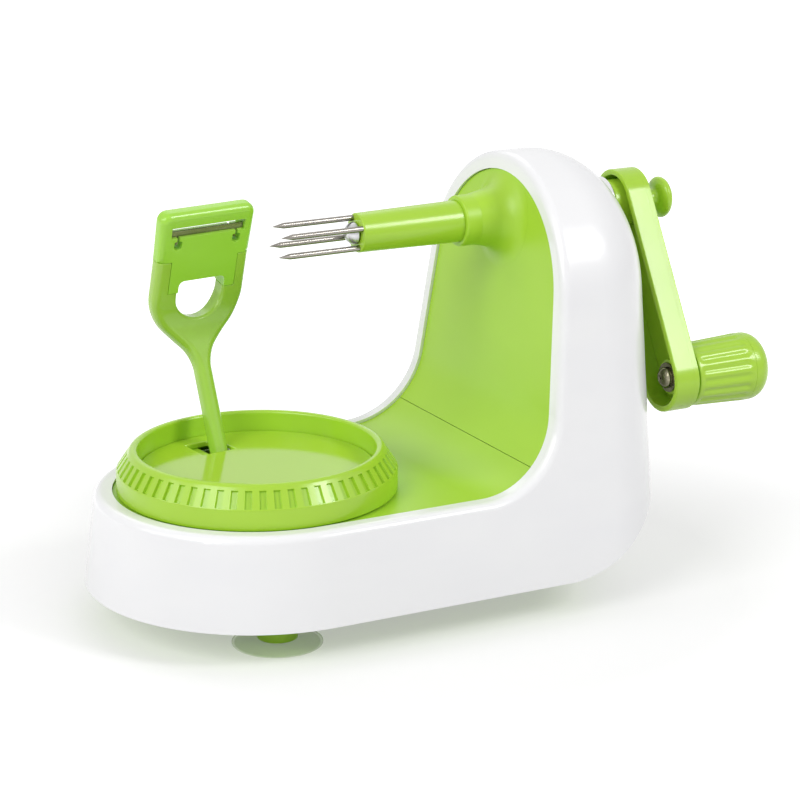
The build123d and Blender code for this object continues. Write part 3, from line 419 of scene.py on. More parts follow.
class Mould:
    """A mesh in the making, in millimetres, shaped by bmesh operators."""

    def __init__(self) -> None:
        """Start with an empty mesh."""
        self.bm: bmesh.types.BMesh = bmesh.new()

    @classmethod
    def turned(cls, profile: Sequence[Pair], steps: int, closed: bool = False) -> "Mould":
        """Spin a profile about the X axis.

        Args:
            profile: Points along the axis and out from it, in order.
            steps: Steps in the full turn.
            closed: Whether the last point joins the first.

        Returns:
            The turned form, with its faces pointing outwards.
        """
        mould = cls()
        bm = mould.bm
        verts = [bm.verts.new((along, radius, 0.0)) for along, radius in profile]
        edges = [bm.edges.new(pair) for pair in zip(verts, verts[1:])]
        if closed:
            edges.append(bm.edges.new((verts[-1], verts[0])))
        bmesh.ops.spin(bm, geom=verts + edges, cent=(0, 0, 0), axis=(1, 0, 0), angle=2 * pi, steps=steps,
                       use_merge=True)
        return mould.close_up()

    @classmethod
    def plate(cls, loops: Iterable[Sequence[Corner]], depth: float) -> "Mould":
        """Fill flat outlines in XZ and give them a depth along Y, half to each side.

        Args:
            loops: Outlines of (x, z, corner rounding), the first outside and the rest holes.
            depth: Thickness of the plate.

        Returns:
            The plate with sharp edges.
        """
        mould = cls()
        bm = mould.bm
        for loop in loops:
            mould.outline(loop)
        bmesh.ops.triangle_fill(bm, use_beauty=True, use_dissolve=False, edges=bm.edges[:], normal=(0, -1, 0))
        mould.thicken(Vector((0, depth, 0)))
        return mould.move(Matrix.Translation((0, -depth / 2, 0)))

    def outline(self, corners: Sequence[Corner]) -> None:
        """Add a closed outline in XZ, with its corners rounded.

        Args:
            corners: Corners of (x, z, rounding), in order.
        """
        bm = self.bm
        verts = [bm.verts.new((x, 0.0, z)) for x, z, _ in corners]
        known = set(bm.faces)
        bm.faces.new(verts)
        for vert, (_, _, rounding) in zip(verts, corners):
            if rounding:
                bmesh.ops.bevel(bm, geom=[vert], offset=rounding, offset_type="OFFSET", segments=CORNER_STEPS,
                                profile=0.5, affect="VERTICES", material=-1)
        bmesh.ops.delete(bm, geom=[face for face in bm.faces if face not in known], context="FACES_ONLY")

    def thicken(self, way: Vector) -> "Mould":
        """Extrude every face into a closed form.

        Args:
            way: Length and direction of the extrusion.

        Returns:
            The same mould.
        """
        bm = self.bm
        made = bmesh.ops.extrude_face_region(bm, geom=bm.faces[:])["geom"]
        moved = [item for item in made if isinstance(item, bmesh.types.BMVert)]
        bmesh.ops.translate(bm, verts=moved, vec=way)
        return self.close_up()

    def close_up(self) -> "Mould":
        """Merge doubled points and point every face outwards.

        Returns:
            The same mould.
        """
        bmesh.ops.remove_doubles(self.bm, verts=self.bm.verts[:], dist=WELD)
        bmesh.ops.recalc_face_normals(self.bm, faces=self.bm.faces[:])
        return self

    def flatten(self) -> "Mould":
        """Dissolve the edges inside flat faces.

        Returns:
            The same mould.
        """
        bm = self.bm
        bmesh.ops.dissolve_limit(bm, angle_limit=radians(FLAT_BELOW), verts=bm.verts[:], edges=bm.edges[:])
        return self

    def soften(self, width: float, segments: int = 3, sharper: float = SHARP_ABOVE,
               where: Optional[Test] = None) -> "Mould":
        """Round the sharp edges.

        Args:
            width: Width of the rounding.
            segments: Steps across it.
            sharper: Least angle in degrees between an edge's faces.
            where: Test of an edge's middle, for rounding only some edges.

        Returns:
            The same mould.
        """
        edges = [edge for edge in self.bm.edges if len(edge.link_faces) == 2
                 and edge.calc_face_angle() > radians(sharper)
                 and (where is None or where((edge.verts[0].co + edge.verts[1].co) / 2))]
        bmesh.ops.bevel(self.bm, geom=edges, offset=width, offset_type="OFFSET", segments=segments,
                        profile=0.5, affect="EDGES", clamp_overlap=True, material=-1)
        return self

    def move(self, matrix: Matrix) -> "Mould":
        """Transform the whole mesh, and return the same mould."""
        bmesh.ops.transform(self.bm, matrix=matrix, verts=self.bm.verts[:])
        return self

    def shift(self, x: float, y: float, z: float) -> "Mould":
        """Move the whole mesh, and return the same mould."""
        return self.move(Matrix.Translation((x, y, z)))

    def map(self, place: Callable[[Vector], Vector]) -> "Mould":
        """Move each point to where a function puts it.

        Args:
            place: Function from a point to its new place.

        Returns:
            The same mould.
        """
        for vert in self.bm.verts:
            vert.co = place(vert.co)
        return self

    def slice(self, point: Triple, normal: Triple) -> "Mould":
        """Cut new edges where a plane crosses the mesh.

        Args:
            point: A point of the plane.
            normal: The plane's normal.

        Returns:
            The same mould.
        """
        geometry = self.bm.verts[:] + self.bm.edges[:] + self.bm.faces[:]
        bmesh.ops.bisect_plane(self.bm, geom=geometry, plane_co=point, plane_no=normal)
        return self

    def join(self, other: "Mould") -> "Mould":
        """Take another mould's mesh into this one.

        Args:
            other: The mould that is used up.

        Returns:
            The same mould.
        """
        passing = bpy.data.meshes.new("passing")
        other.bm.to_mesh(passing)
        other.bm.free()
        self.bm.from_mesh(passing)
        bpy.data.meshes.remove(passing)
        return self

    def finish(self, name: str, body: Body, finish: Finish, *nodes: str) -> bpy.types.Object:
        """Make the piece's object, dress it and let it ride.

        Args:
            name: The piece's name.
            body: CAD body that it moves with.
            finish: Finish that it gets.
            nodes: CAD nodes that it stands for.

        Returns:
            The finished object.
        """
        bm = self.bm
        bmesh.ops.scale(bm, vec=(MM, MM, MM), verts=bm.verts[:])
        for face in bm.faces:
            face.smooth = True
        for edge in bm.edges:
            edge.smooth = len(edge.link_faces) == 2 and edge.calc_face_angle() < radians(SMOOTH_BELOW)
        mesh = bpy.data.meshes.new(name)
        bm.to_mesh(mesh)
        bm.free()
        mesh.materials.append(PAINTS.get(finish))
        piece = bpy.data.objects.new(name, mesh)
        bpy.context.scene.collection.objects.link(piece)
        shading = piece.modifiers.new("even_shading", "WEIGHTED_NORMAL")
        shading.keep_sharp = True
        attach(piece, body.value)
        if nodes:
            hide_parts(*nodes)
        return piece


def coil(radius: float, wire: float, pitch: float, turns: int) -> Mould:
    """Wind round wire about the X axis.

    Args:
        radius: Radius of the wire's centreline.
        wire: Radius of the wire.
        pitch: Advance of each turn.
        turns: Number of turns.

    Returns:
        The wound wire, from X = 0 along +X.
    """
    mould = Mould()
    bm = mould.bm
    made = bmesh.ops.create_circle(bm, cap_ends=True, segments=WIRE_STEPS, radius=wire)
    bmesh.ops.translate(bm, verts=made["verts"], vec=(0, radius, 0))
    bmesh.ops.spin(bm, geom=bm.verts[:] + bm.edges[:] + bm.faces[:], cent=(0, 0, 0), axis=(1, 0, 0),
                   dvec=(pitch / COIL_STEPS, 0, 0), angle=2 * pi * turns, steps=COIL_STEPS * turns,
                   use_merge=False)
    return mould.close_up()


class SubAssembly(Protocol):
    """Pieces that belong together."""

    def build(self) -> list[bpy.types.Object]:
        """Build the pieces in order, and return them."""


@dataclass(frozen=True)
class ArmPivot:
    """Place of the peeling arm's pin: its reach from the turntable's axis, height and bearing in degrees."""

    centre: Vector
    reach: float
    height: float
    angle: float

    @classmethod
    def from_frame(cls) -> "ArmPivot":
        """Take the turntable's axis and the pin's place from their CAD nodes.

        Returns:
            The pin's place.
        """
        axis, pin = NodeBox.of("turntable_dish").middle, NodeBox.of("arm_pin").middle
        out = (pin - axis).xy
        return cls(centre=Vector((axis.x, axis.y, 0)), reach=out.length, height=pin.z,
                   angle=degrees(atan2(out.y, out.x)))


@dataclass(frozen=True)
class ArmSlot:
    """Opening that the arm stands in: its two sides across the arm, and its inner and outer end."""

    left: float
    right: float
    inner: float
    outer: float

    def holds(self, point: Vector) -> bool:
        """True for a point inside the opening."""
        return self.left < point.x < self.right and self.inner < point.y < self.outer


@dataclass
class Turntable:
    """Dish with a fluted rim, the glossy plate let into it, and the arm's spring under them."""

    pivot: ArmPivot
    top: float
    radius: float
    hub_foot: float
    plate_z: float
    plate_top: float
    rim_depth: float = 14.1
    rim_radius: float = 41.6
    rim_width: float = 2.2
    rim_round: float = 1.0
    foot_round: float = 0.5
    band_top: float = 49.6
    wall: float = 2.5
    floor_z: float = 46.0
    floor_lap: float = 0.2
    hub_radius: float = 11.0
    hub_lap: float = 0.5
    hub_round: float = 0.4
    flutes: int = 60
    flute_low: float = 50.2
    flute_high: float = 55.3
    flute_depth: float = 0.9
    flute_edge: float = 0.26
    slot_inner: float = 20.2
    slot_width: float = 10.0
    stem_gap: float = 3.6
    window_side: float = 8.5
    window_outer: float = 32.6
    plate_gap: float = 0.2
    plate_round: float = 0.5
    lug_depth: float = 2.4
    lug_length: float = 7.0
    lug_corner: float = 0.6
    lug_round: float = 0.3
    spring_radius: float = 2.4
    spring_width: float = 1.6
    spring_start: float = 3.0
    spring_wire: float = 0.3
    spring_turns: int = 2

    @classmethod
    def from_frame(cls) -> "Turntable":
        """Take the dish's place and main sizes from the CAD nodes.

        Returns:
            The turntable, ready to build.
        """
        dish, cover = NodeBox.of("turntable_dish"), NodeBox.of("turntable_cover")
        return cls(pivot=ArmPivot.from_frame(), top=dish.high.z, radius=(dish.high.x - dish.low.x) / 2,
                   hub_foot=dish.low.z, plate_z=cover.low.z, plate_top=cover.high.z)

    def build(self) -> list[bpy.types.Object]:
        """Build the dish, the plate and the arm's spring."""
        return [self.dish(), self.plate(), self.spring()]

    @property
    def inner(self) -> float:
        """Radius inside the rim."""
        return self.rim_radius - self.rim_width

    def cone_radius(self, z: float) -> float:
        """Radius of the rim's cone at a height."""
        share = (z - self.band_top) / (self.top - self.band_top)
        return self.radius + share * (self.rim_radius - self.radius)

    def to_arm(self) -> Matrix:
        """Turn from the Y axis to the arm's direction."""
        return Matrix.Rotation(radians(self.pivot.angle - 90), 4, "Z")

    def dish(self) -> bpy.types.Object:
        """Build the dish: a turned rim with recessed flutes, a slotted floor, its hub and the arm's two lugs.

        Returns:
            The dish.
        """
        bottom, inside = self.top - self.rim_depth, self.radius - self.wall
        profile = [(self.plate_z, self.inner), (self.top, self.inner), (self.top, self.rim_radius)]
        profile += [(z, self.cone_radius(z)) for z in (self.flute_high, self.flute_low)]
        profile += [(self.band_top, self.radius), (bottom, self.radius), (bottom, inside),
                    (self.floor_z, inside), (self.floor_z, self.inner)]
        mould = Mould.turned(profile, steps=2 * self.flutes, closed=True)
        mould.soften(self.rim_round, segments=5, where=lambda point: point.x > self.top - NEAR)
        mould.soften(self.foot_round, where=lambda point: abs(point.x - bottom) < NEAR)
        recesses = [face for face in mould.bm.faces if self.is_recess(face.calc_center_median())]
        bmesh.ops.inset_individual(mould.bm, faces=recesses, thickness=self.flute_edge,
                                   depth=-self.flute_depth, use_even_offset=True)
        mould.move(ALONG_TO_UP)
        slot = ArmSlot(-self.stem_gap, self.stem_gap, self.slot_inner, self.inner)
        mould.join(self.slotted_disc(self.inner + self.floor_lap, self.floor_z, self.plate_z, slot))
        hub = ring_profile(self.hub_foot, self.floor_z + self.hub_lap, 0.0, self.hub_radius)
        mould.join(Mould.turned(hub, steps=64).soften(self.hub_round, segments=2).move(ALONG_TO_UP))
        for side in (-1, 1):
            mould.join(self.lug(side))
        mould.move(Matrix.Translation(self.pivot.centre))
        return mould.finish("turntable_rim", Body.TURNTABLE, LIME_GLOSS, "turntable_dish")

    def is_recess(self, point: Vector) -> bool:
        """Tell the flutes' faces, every second one between their two levels.

        Args:
            point: Middle of a face, with the turntable's axis along X.

        Returns:
            True for a face that is sunk.
        """
        if not self.flute_low < point.x < self.flute_high or off_axis(point) < self.rim_radius:
            return False
        turn = (atan2(point.z, point.y) % (2 * pi)) / (2 * pi)
        return int(turn * 2 * self.flutes) % 2 == 0

    def lug(self, side: int) -> Mould:
        """Build one of the lugs under the floor that hold the arm's pin.

        Args:
            side: -1 or 1, for the side of the arm.

        Returns:
            The lug, about the turntable's axis.
        """
        mid, half = side * (self.slot_width + self.wall) / 2, self.wall / 2
        low, high = self.floor_z - self.lug_depth, self.floor_z + self.floor_lap
        corners = [(mid - half, low, self.lug_corner), (mid + half, low, self.lug_corner),
                   (mid + half, high, 0.0), (mid - half, high, 0.0)]
        mould = Mould.plate([corners], self.lug_length).soften(self.lug_round, segments=2)
        return mould.shift(0, self.pivot.reach, 0).move(self.to_arm())

    def slotted_disc(self, radius: float, low: float, high: float, slot: ArmSlot) -> Mould:
        """Build a disc with the arm's slot cut out of it.

        Args:
            radius: The disc's radius.
            low: Height of its underside.
            high: Height of its top.
            slot: The opening, with the arm along +Y.

        Returns:
            The disc about the turntable's axis, with sharp edges.
        """
        mould = Mould()
        bmesh.ops.create_circle(mould.bm, cap_ends=True, segments=128, radius=radius)
        for x in (slot.left, slot.right):
            mould.slice((x, 0, 0), (1, 0, 0))
        for y in (slot.inner, slot.outer):
            mould.slice((0, y, 0), (0, 1, 0))
        gap = [face for face in mould.bm.faces if slot.holds(face.calc_center_median())]
        bmesh.ops.delete(mould.bm, geom=gap, context="FACES")
        mould.thicken(Vector((0, 0, high - low))).shift(0, 0, low)
        return mould.move(self.to_arm())

    def plate(self) -> bpy.types.Object:
        """Build the plate: a disc with a closed window and a bright rounded edge.

        Returns:
            The plate.
        """
        window = ArmSlot(-self.window_side, self.stem_gap, self.slot_inner, self.window_outer)
        mould = self.slotted_disc(self.inner - self.plate_gap, self.plate_z, self.plate_top, window)
        mould.soften(self.plate_round).move(Matrix.Translation(self.pivot.centre))
        return mould.finish("turntable_plate", Body.TURNTABLE, LIME_POLISHED, "turntable_cover")

    def spring(self) -> bpy.types.Object:
        """Wind the arm's spring on its pin, beside the stem.

        Returns:
            The spring.
        """
        wire, turns = self.spring_wire, self.spring_turns
        mould = coil(self.spring_radius - wire, wire, (self.spring_width - 2 * wire) / turns, turns)
        mould.shift(self.spring_start + wire, self.pivot.reach, self.pivot.height)
        mould.move(Matrix.Translation(self.pivot.centre) @ self.to_arm())
        return mould.finish("arm_coil", Body.TURNTABLE, PART_STEEL, "arm_spring")


@dataclass
class PeelingArm:
    """Bent arm that forks round the eye, its head plate, and the blade in the head's window.

    The arm is drawn flat, across X and up Z, and then bent onto its line. The line's bend and head are points
    out from the turntable's axis and up.
    """

    pivot: ArmPivot
    bend: Pair = (40.8, 91.8)
    head: Pair = (29.2, 133.0)
    bend_round: float = 24.0
    bend_low: float = 78.0
    bend_step: float = 1.5
    bend_steps: int = 16
    thickness: float = 6.2
    stem: float = 2.8
    stem_foot: float = 44.0
    fork: float = 17.4
    fork_low: float = 79.5
    fork_round: float = 7.0
    fork_outer_low: float = 93.5
    crotch_round: float = 4.5
    shoulder: float = 115.0
    tongue: float = 12.6
    tongue_low: float = 103.5
    parting: float = 0.1
    eye: float = 8.8
    eye_low: float = 92.7
    eye_high: float = 107.5
    eye_flat: float = 0.06
    eye_corner: float = 2.0
    top: float = 132.0
    top_half: float = 17.9
    top_corner: float = 3.4
    window: float = 14.0
    window_low: float = 123.6
    window_high: float = 127.2
    keyhole: float = 11.1
    keyhole_z: float = 120.8
    keyhole_half: float = 1.5
    keyhole_slit: float = 0.5
    keyhole_round: float = 1.3
    bar_soft: float = 2.4
    eye_soft: float = 2.0
    head_soft: float = 2.2
    edge_soft: float = 0.25
    # For telling which edges are softened: clear of a line, short of an end, and in from the head's rim.
    clear: float = 1.0
    margin: float = 0.5
    head_side: float = 0.6
    head_top: float = 1.5
    blade_gap: float = 0.1
    blade_lift: float = 0.02
    blade_width: float = 1.9
    blade_thickness: float = 0.6
    blade_corner: float = 0.3
    blade_soft: float = 0.12
    blade_inset: float = 1.6
    blade_tab: float = 0.4

    @classmethod
    def from_frame(cls) -> "PeelingArm":
        """Take the arm's pivot from the CAD nodes."""
        return cls(pivot=ArmPivot.from_frame())

    def build(self) -> list[bpy.types.Object]:
        """Build the arm, its head plate and the blade."""
        return [self.forked_stem(), self.head_plate(), self.blade()]

    def line(self, z: float) -> Pair:
        """Follow the arm's line: two straights with a round bend between them.

        Args:
            z: Height on the line.

        Returns:
            The line's distance from the turntable's axis there, and its lean outwards in radians.
        """
        low = atan2(self.bend[0] - self.pivot.reach, self.bend[1] - self.pivot.height)
        high = atan2(self.head[0] - self.bend[0], self.head[1] - self.bend[1])
        reach = self.bend_round * tan((low - high) / 2)
        start_out, start_z = self.bend[0] - reach * sin(low), self.bend[1] - reach * cos(low)
        if z <= start_z:
            return (start_out + (z - start_z) * tan(low), low)
        if z >= self.bend[1] + reach * cos(high):
            return (self.bend[0] + (z - self.bend[1]) * tan(high), high)
        hub_out, hub_z = start_out - self.bend_round * cos(low), start_z + self.bend_round * sin(low)
        rise = (z - hub_z) / self.bend_round
        lean = -atan2(rise, sqrt(1 - rise * rise))
        return (hub_out + self.bend_round * cos(lean), lean)

    def place(self, point: Vector) -> Vector:
        """Bend a flat point onto the arm's line.

        Args:
            point: Across the arm, out from its middle layer, and its height.

        Returns:
            The point in the part's frame.
        """
        distance, lean = self.line(point.z)
        bearing = radians(self.pivot.angle)
        out = Vector((cos(bearing), sin(bearing), 0))
        across = Vector((out.y, -out.x, 0))
        up = Vector((0, 0, point.z - point.y * sin(lean)))
        return self.pivot.centre + across * point.x + out * (distance + point.y * cos(lean)) + up

    def bent(self, mould: Mould, levels: Sequence[float] = ()) -> Mould:
        """Slice a flat form at some heights and bend it onto the arm's line.

        Args:
            mould: The flat form.
            levels: Heights of the slices.

        Returns:
            The same mould.
        """
        for level in levels:
            mould.slice((0, 0, level), (0, 0, 1))
        return mould.map(self.place)

    def forked_stem(self) -> bpy.types.Object:
        """Build the stem and its two prongs as one soft-edged bar.

        Returns:
            The arm without its head.
        """
        rise = self.fork - self.stem
        prong_top = self.shoulder - self.parting
        tongue, tongue_low = self.tongue + self.parting, self.tongue_low - self.parting
        side = [(self.stem, self.stem_foot, 0.0), (self.stem, self.fork_low, self.crotch_round),
                (self.fork, self.fork_low + rise, self.fork_round), (self.fork, prong_top, 0.0),
                (tongue, prong_top, 0.0), (tongue, tongue_low, 0.0), (self.eye, tongue_low, 0.0),
                (self.eye, self.eye_low, self.eye - self.eye_flat)]
        mould = Mould.plate([side + mirrored(side)], self.thickness).flatten()
        mould.soften(self.bar_soft, segments=6, where=self.on_outside)
        mould.soften(self.eye_soft, segments=5, where=self.in_eye)
        mould.soften(self.edge_soft, segments=2)
        self.bent(mould, [self.bend_low + self.bend_step * step for step in range(self.bend_steps)])
        return mould.finish("peeling_arm", Body.ARM, LIME_SOFT, "peeler_arm")

    def on_outside(self, point: Vector) -> bool:
        """Tell the front and back edges of the bar's outer outline.

        Args:
            point: Middle of an edge of the flat bar.

        Returns:
            True below the shoulder and away from the eye and the tongue.
        """
        if point.z >= self.shoulder - self.margin or abs(point.y) <= self.clear:
            return False
        if point.z < self.eye_low - self.margin:
            return True
        on_slope = point.z < self.fork_outer_low and abs(point.x) > self.eye + self.clear
        return on_slope or abs(point.x) > self.tongue + self.clear

    def in_eye(self, point: Vector) -> bool:
        """True on the front and back edges of the eye, below the tongue."""
        between = self.eye_low - self.margin < point.z < self.tongue_low - self.margin
        return between and abs(point.x) < self.eye + NEAR and abs(point.y) > self.clear

    def head_plate(self) -> bpy.types.Object:
        """Build the head: a plate with rounded shoulders, the blade's window and two keyholes.

        Returns:
            The head.
        """
        notch = [(-self.eye, self.tongue_low, 0.0), (-self.eye, self.eye_high, self.eye_corner)]
        side = [(self.tongue, self.tongue_low, 0.0), (self.tongue, self.shoulder, 0.0),
                (self.fork, self.shoulder, 0.0), (self.top_half, self.top, self.top_corner)]
        outside = notch + mirrored(notch) + side + mirrored(side)
        hole = self.keyhole_corners()
        window = [(self.window, self.window_high, 0.0), (-self.window, self.window_high, 0.0),
                  (-self.window, self.window_low, 0.0)]
        window += mirrored(hole) + hole + [(self.window, self.window_low, 0.0)]
        mould = Mould.plate([outside, window], self.thickness)
        mould.soften(self.head_soft, segments=6, where=self.on_head_rim)
        mould.soften(self.edge_soft, segments=2)
        return self.bent(mould).finish("blade_holder", Body.ARM, LIME_GLOSS_PAINTED_LIGHT, "blade_head")

    def on_head_rim(self, point: Vector) -> bool:
        """True on the front and back edges of the head's sides and top."""
        outside = abs(point.x) > self.fork - self.head_side or point.z > self.top - self.head_top
        return outside and abs(point.y) > self.clear

    def keyhole_corners(self) -> list[Corner]:
        """Draw one keyhole, from the window's lower edge round and back to it.

        Returns:
            Its corners.
        """
        x, slit, half, rounding = self.keyhole, self.keyhole_slit, self.keyhole_half, self.keyhole_round
        low, high = self.keyhole_z - half, self.keyhole_z + half
        return [(x - slit, self.window_low, 0.0), (x - slit, high, 0.0), (x - half, high, rounding / 2),
                (x - half, low, rounding), (x + half, low, rounding), (x + half, high, rounding / 2),
                (x + slit, high, 0.0), (x + slit, self.window_low, 0.0)]

    def blade(self) -> bpy.types.Object:
        """Build the blade: a thin ground strip with a tab at each end, set back in the window.

        Returns:
            The blade.
        """
        half, foot = self.window - self.blade_gap, self.keyhole_z
        low, high = self.window_low + self.blade_lift, self.window_low + self.blade_width
        tab_out, tab_in = -self.keyhole - self.blade_tab, -self.keyhole + self.blade_tab
        edge = [(-half, low, 0.0), (tab_out, low, 0.0), (tab_out, foot, 0.0), (tab_in, foot, 0.0),
                (tab_in, low, 0.0)]
        back = [(half, high, self.blade_corner), (-half, high, self.blade_corner)]
        mould = Mould.plate([edge + mirrored(edge) + back], self.blade_thickness)
        mould.soften(self.blade_soft, segments=2).shift(0, -self.blade_inset, 0)
        return self.bent(mould).finish("peeling_blade", Body.ARM, STEEL_PAINTED_GREEN_REFLECTION, "blade")


@dataclass
class ForkSpindle:
    """Green sleeve with four steel tines, and the ejector's dome and spring."""

    mouth: float
    root: float
    axis_z: float
    mouth_radius: float = 6.6
    root_radius: float = 7.1
    bore: float = 1.9
    sleeve_round: float = 0.45
    tines: int = 4
    tine_radius: float = 1.0
    tine_circle: float = 5.2
    tine_angle: float = 64.0
    tine_root: float = 5.0
    tine_point: float = 4.2
    tip_length: float = 0.4
    tip_radius: float = 0.14
    dome_steps: int = 16
    dome_round: float = 0.3
    dome_edge: float = 60.0
    travel: float = 7.0
    spring_wire: float = 0.36
    spring_turns: int = 4

    @classmethod
    def from_frame(cls) -> "ForkSpindle":
        """Take the sleeve's ends and axis from its CAD node."""
        box = NodeBox.of("fork_sleeve")
        return cls(mouth=box.low.x, root=box.high.x, axis_z=box.middle.z)

    def build(self) -> list[bpy.types.Object]:
        """Build the sleeve, the tines, the dome and the spring."""
        return [self.sleeve(), self.fork(), self.dome(), self.spring()]

    def sleeve(self) -> bpy.types.Object:
        """Build the sleeve: a slightly tapered tube with a soft mouth.

        Returns:
            The sleeve.
        """
        profile = [(self.mouth, self.bore), (self.mouth, self.mouth_radius), (self.root, self.root_radius),
                   (self.root, self.bore)]
        mould = Mould.turned(profile, steps=80, closed=True).soften(self.sleeve_round)
        mould.shift(0, 0, self.axis_z)
        return mould.finish("fork_sleeve_skin", Body.SPINDLE, LIME_GLOSS, "fork_sleeve")

    def fork(self) -> bpy.types.Object:
        """Build the four tines as one group of ground points.

        Returns:
            The group.
        """
        tip, root = NodeBox.of("fork_tines").low.x, self.mouth + self.tine_root
        profile = [(tip, 0.0), (tip + self.tip_length, self.tip_radius),
                   (tip + self.tine_point, self.tine_radius), (root, self.tine_radius), (root, 0.0)]
        group = Mould()
        for index in range(self.tines):
            turn = radians(self.tine_angle) + 2 * pi * index / self.tines
            y, z = self.tine_circle * cos(turn), self.axis_z + self.tine_circle * sin(turn)
            group.join(Mould.turned(profile, steps=36).shift(0, y, z))
        return group.finish("steel_tines", Body.SPINDLE, STEEL_PAINTED_DARK_REFLECTION, "fork_tines")

    def dome(self) -> bpy.types.Object:
        """Build the ejector's polished dome, flat behind where it rests on the sleeve.

        Returns:
            The dome.
        """
        box = NodeBox.of("ejector_tip")
        angles = [pi / 2 * step / self.dome_steps for step in range(self.dome_steps + 1)]
        profile = [(-box.radius * cos(angle), box.radius * sin(angle)) for angle in angles] + [(0.0, 0.0)]
        mould = Mould.turned(profile, steps=48).soften(self.dome_round, sharper=self.dome_edge)
        mould.shift(box.high.x, 0, self.axis_z)
        return mould.finish("ejector_dome", Body.EJECTOR, PART_STEEL, "ejector_tip")

    def spring(self) -> bpy.types.Object:
        """Wind the ejector's spring inside the sleeve at its CAD node's length, and give it a mesh of its
        own; the rod's collar squeezes the real spring as the rod is pushed.

        Returns:
            The spring.
        """
        box = NodeBox.of("ejector_spring")
        length = box.high.x - box.low.x
        wire, turns = self.spring_wire, self.spring_turns
        mould = coil(box.radius - wire, wire, (length - 2 * wire) / turns, turns)
        mould.shift(box.low.x + wire, 0, self.axis_z)
        piece = mould.finish("ejector_coil", Body.SPINDLE, PART_STEEL, "ejector_spring")
        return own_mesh(piece)


@dataclass
class Neck:
    """Soft flared neck round the spindle, moulded on the tower panel."""

    start: float
    axis_z: float
    radius: float = 8.55
    bore: float = 7.15
    ring: float = 3.4
    ring_lap: float = 1.0
    lip_proud: float = 1.2
    lip_round: float = 0.7
    length: float = 16.32
    root: float = 11.18
    slope: float = 0.2215
    flare: float = 6.0
    flare_lap: float = 0.3
    flare_wall: float = 1.2
    panel_sink: float = 0.5
    panel_proud: float = 0.03
    reach: float = 8.0
    lean: float = 5.9

    @classmethod
    def from_frame(cls) -> "Neck":
        """Take the neck's mouth and axis from the CAD nodes."""
        return cls(start=NodeBox.of("tower_panel").low.x, axis_z=NodeBox.of("fork_sleeve").middle.z)

    def build(self) -> list[bpy.types.Object]:
        """Build the neck."""
        return [self.collar()]

    def collar(self) -> bpy.types.Object:
        """Build the neck's rounded lip and the soft flare that runs out into the leaning panel.

        Returns:
            The neck.
        """
        ring = ring_profile(-self.lip_proud, self.ring + self.ring_lap, self.bore, self.radius)
        lip = Mould.turned(ring, steps=96, closed=True)
        lip.soften(self.lip_round, segments=5, where=lambda p: p.x < 0 and off_axis(p) > self.radius - NEAR)
        tip = self.root - self.slope * self.reach
        inside, rim = tip - self.flare_wall, self.root + self.flare + self.flare_lap
        profile = [(self.panel_sink, inside), (self.panel_sink, rim), (-self.panel_proud, rim),
                   (-self.panel_proud, self.root), (-self.reach, tip), (-self.reach, inside)]
        flare = Mould.turned(profile, steps=128, closed=True)
        flare.soften(self.flare, segments=10, where=self.at_root)
        flare.map(self.leaning).shift(self.length, 0, 0)
        lip.join(flare).shift(self.start, 0, self.axis_z)
        return lip.finish("spindle_neck", Body.HOUSING, LIME_SATIN)

    def at_root(self, point: Vector) -> bool:
        """True on the edge where the flare meets the panel."""
        return abs(point.x) < NEAR and abs(off_axis(point) - self.root) < NEAR

    def leaning(self, point: Vector) -> Vector:
        """Shear a flare point with the panel's lean, fading out towards the flare's narrow end."""
        share = max(0.0, min(1.0, 1 + point.x / self.reach))
        return Vector((point.x + share * point.z * tan(radians(self.lean)), point.y, point.z))


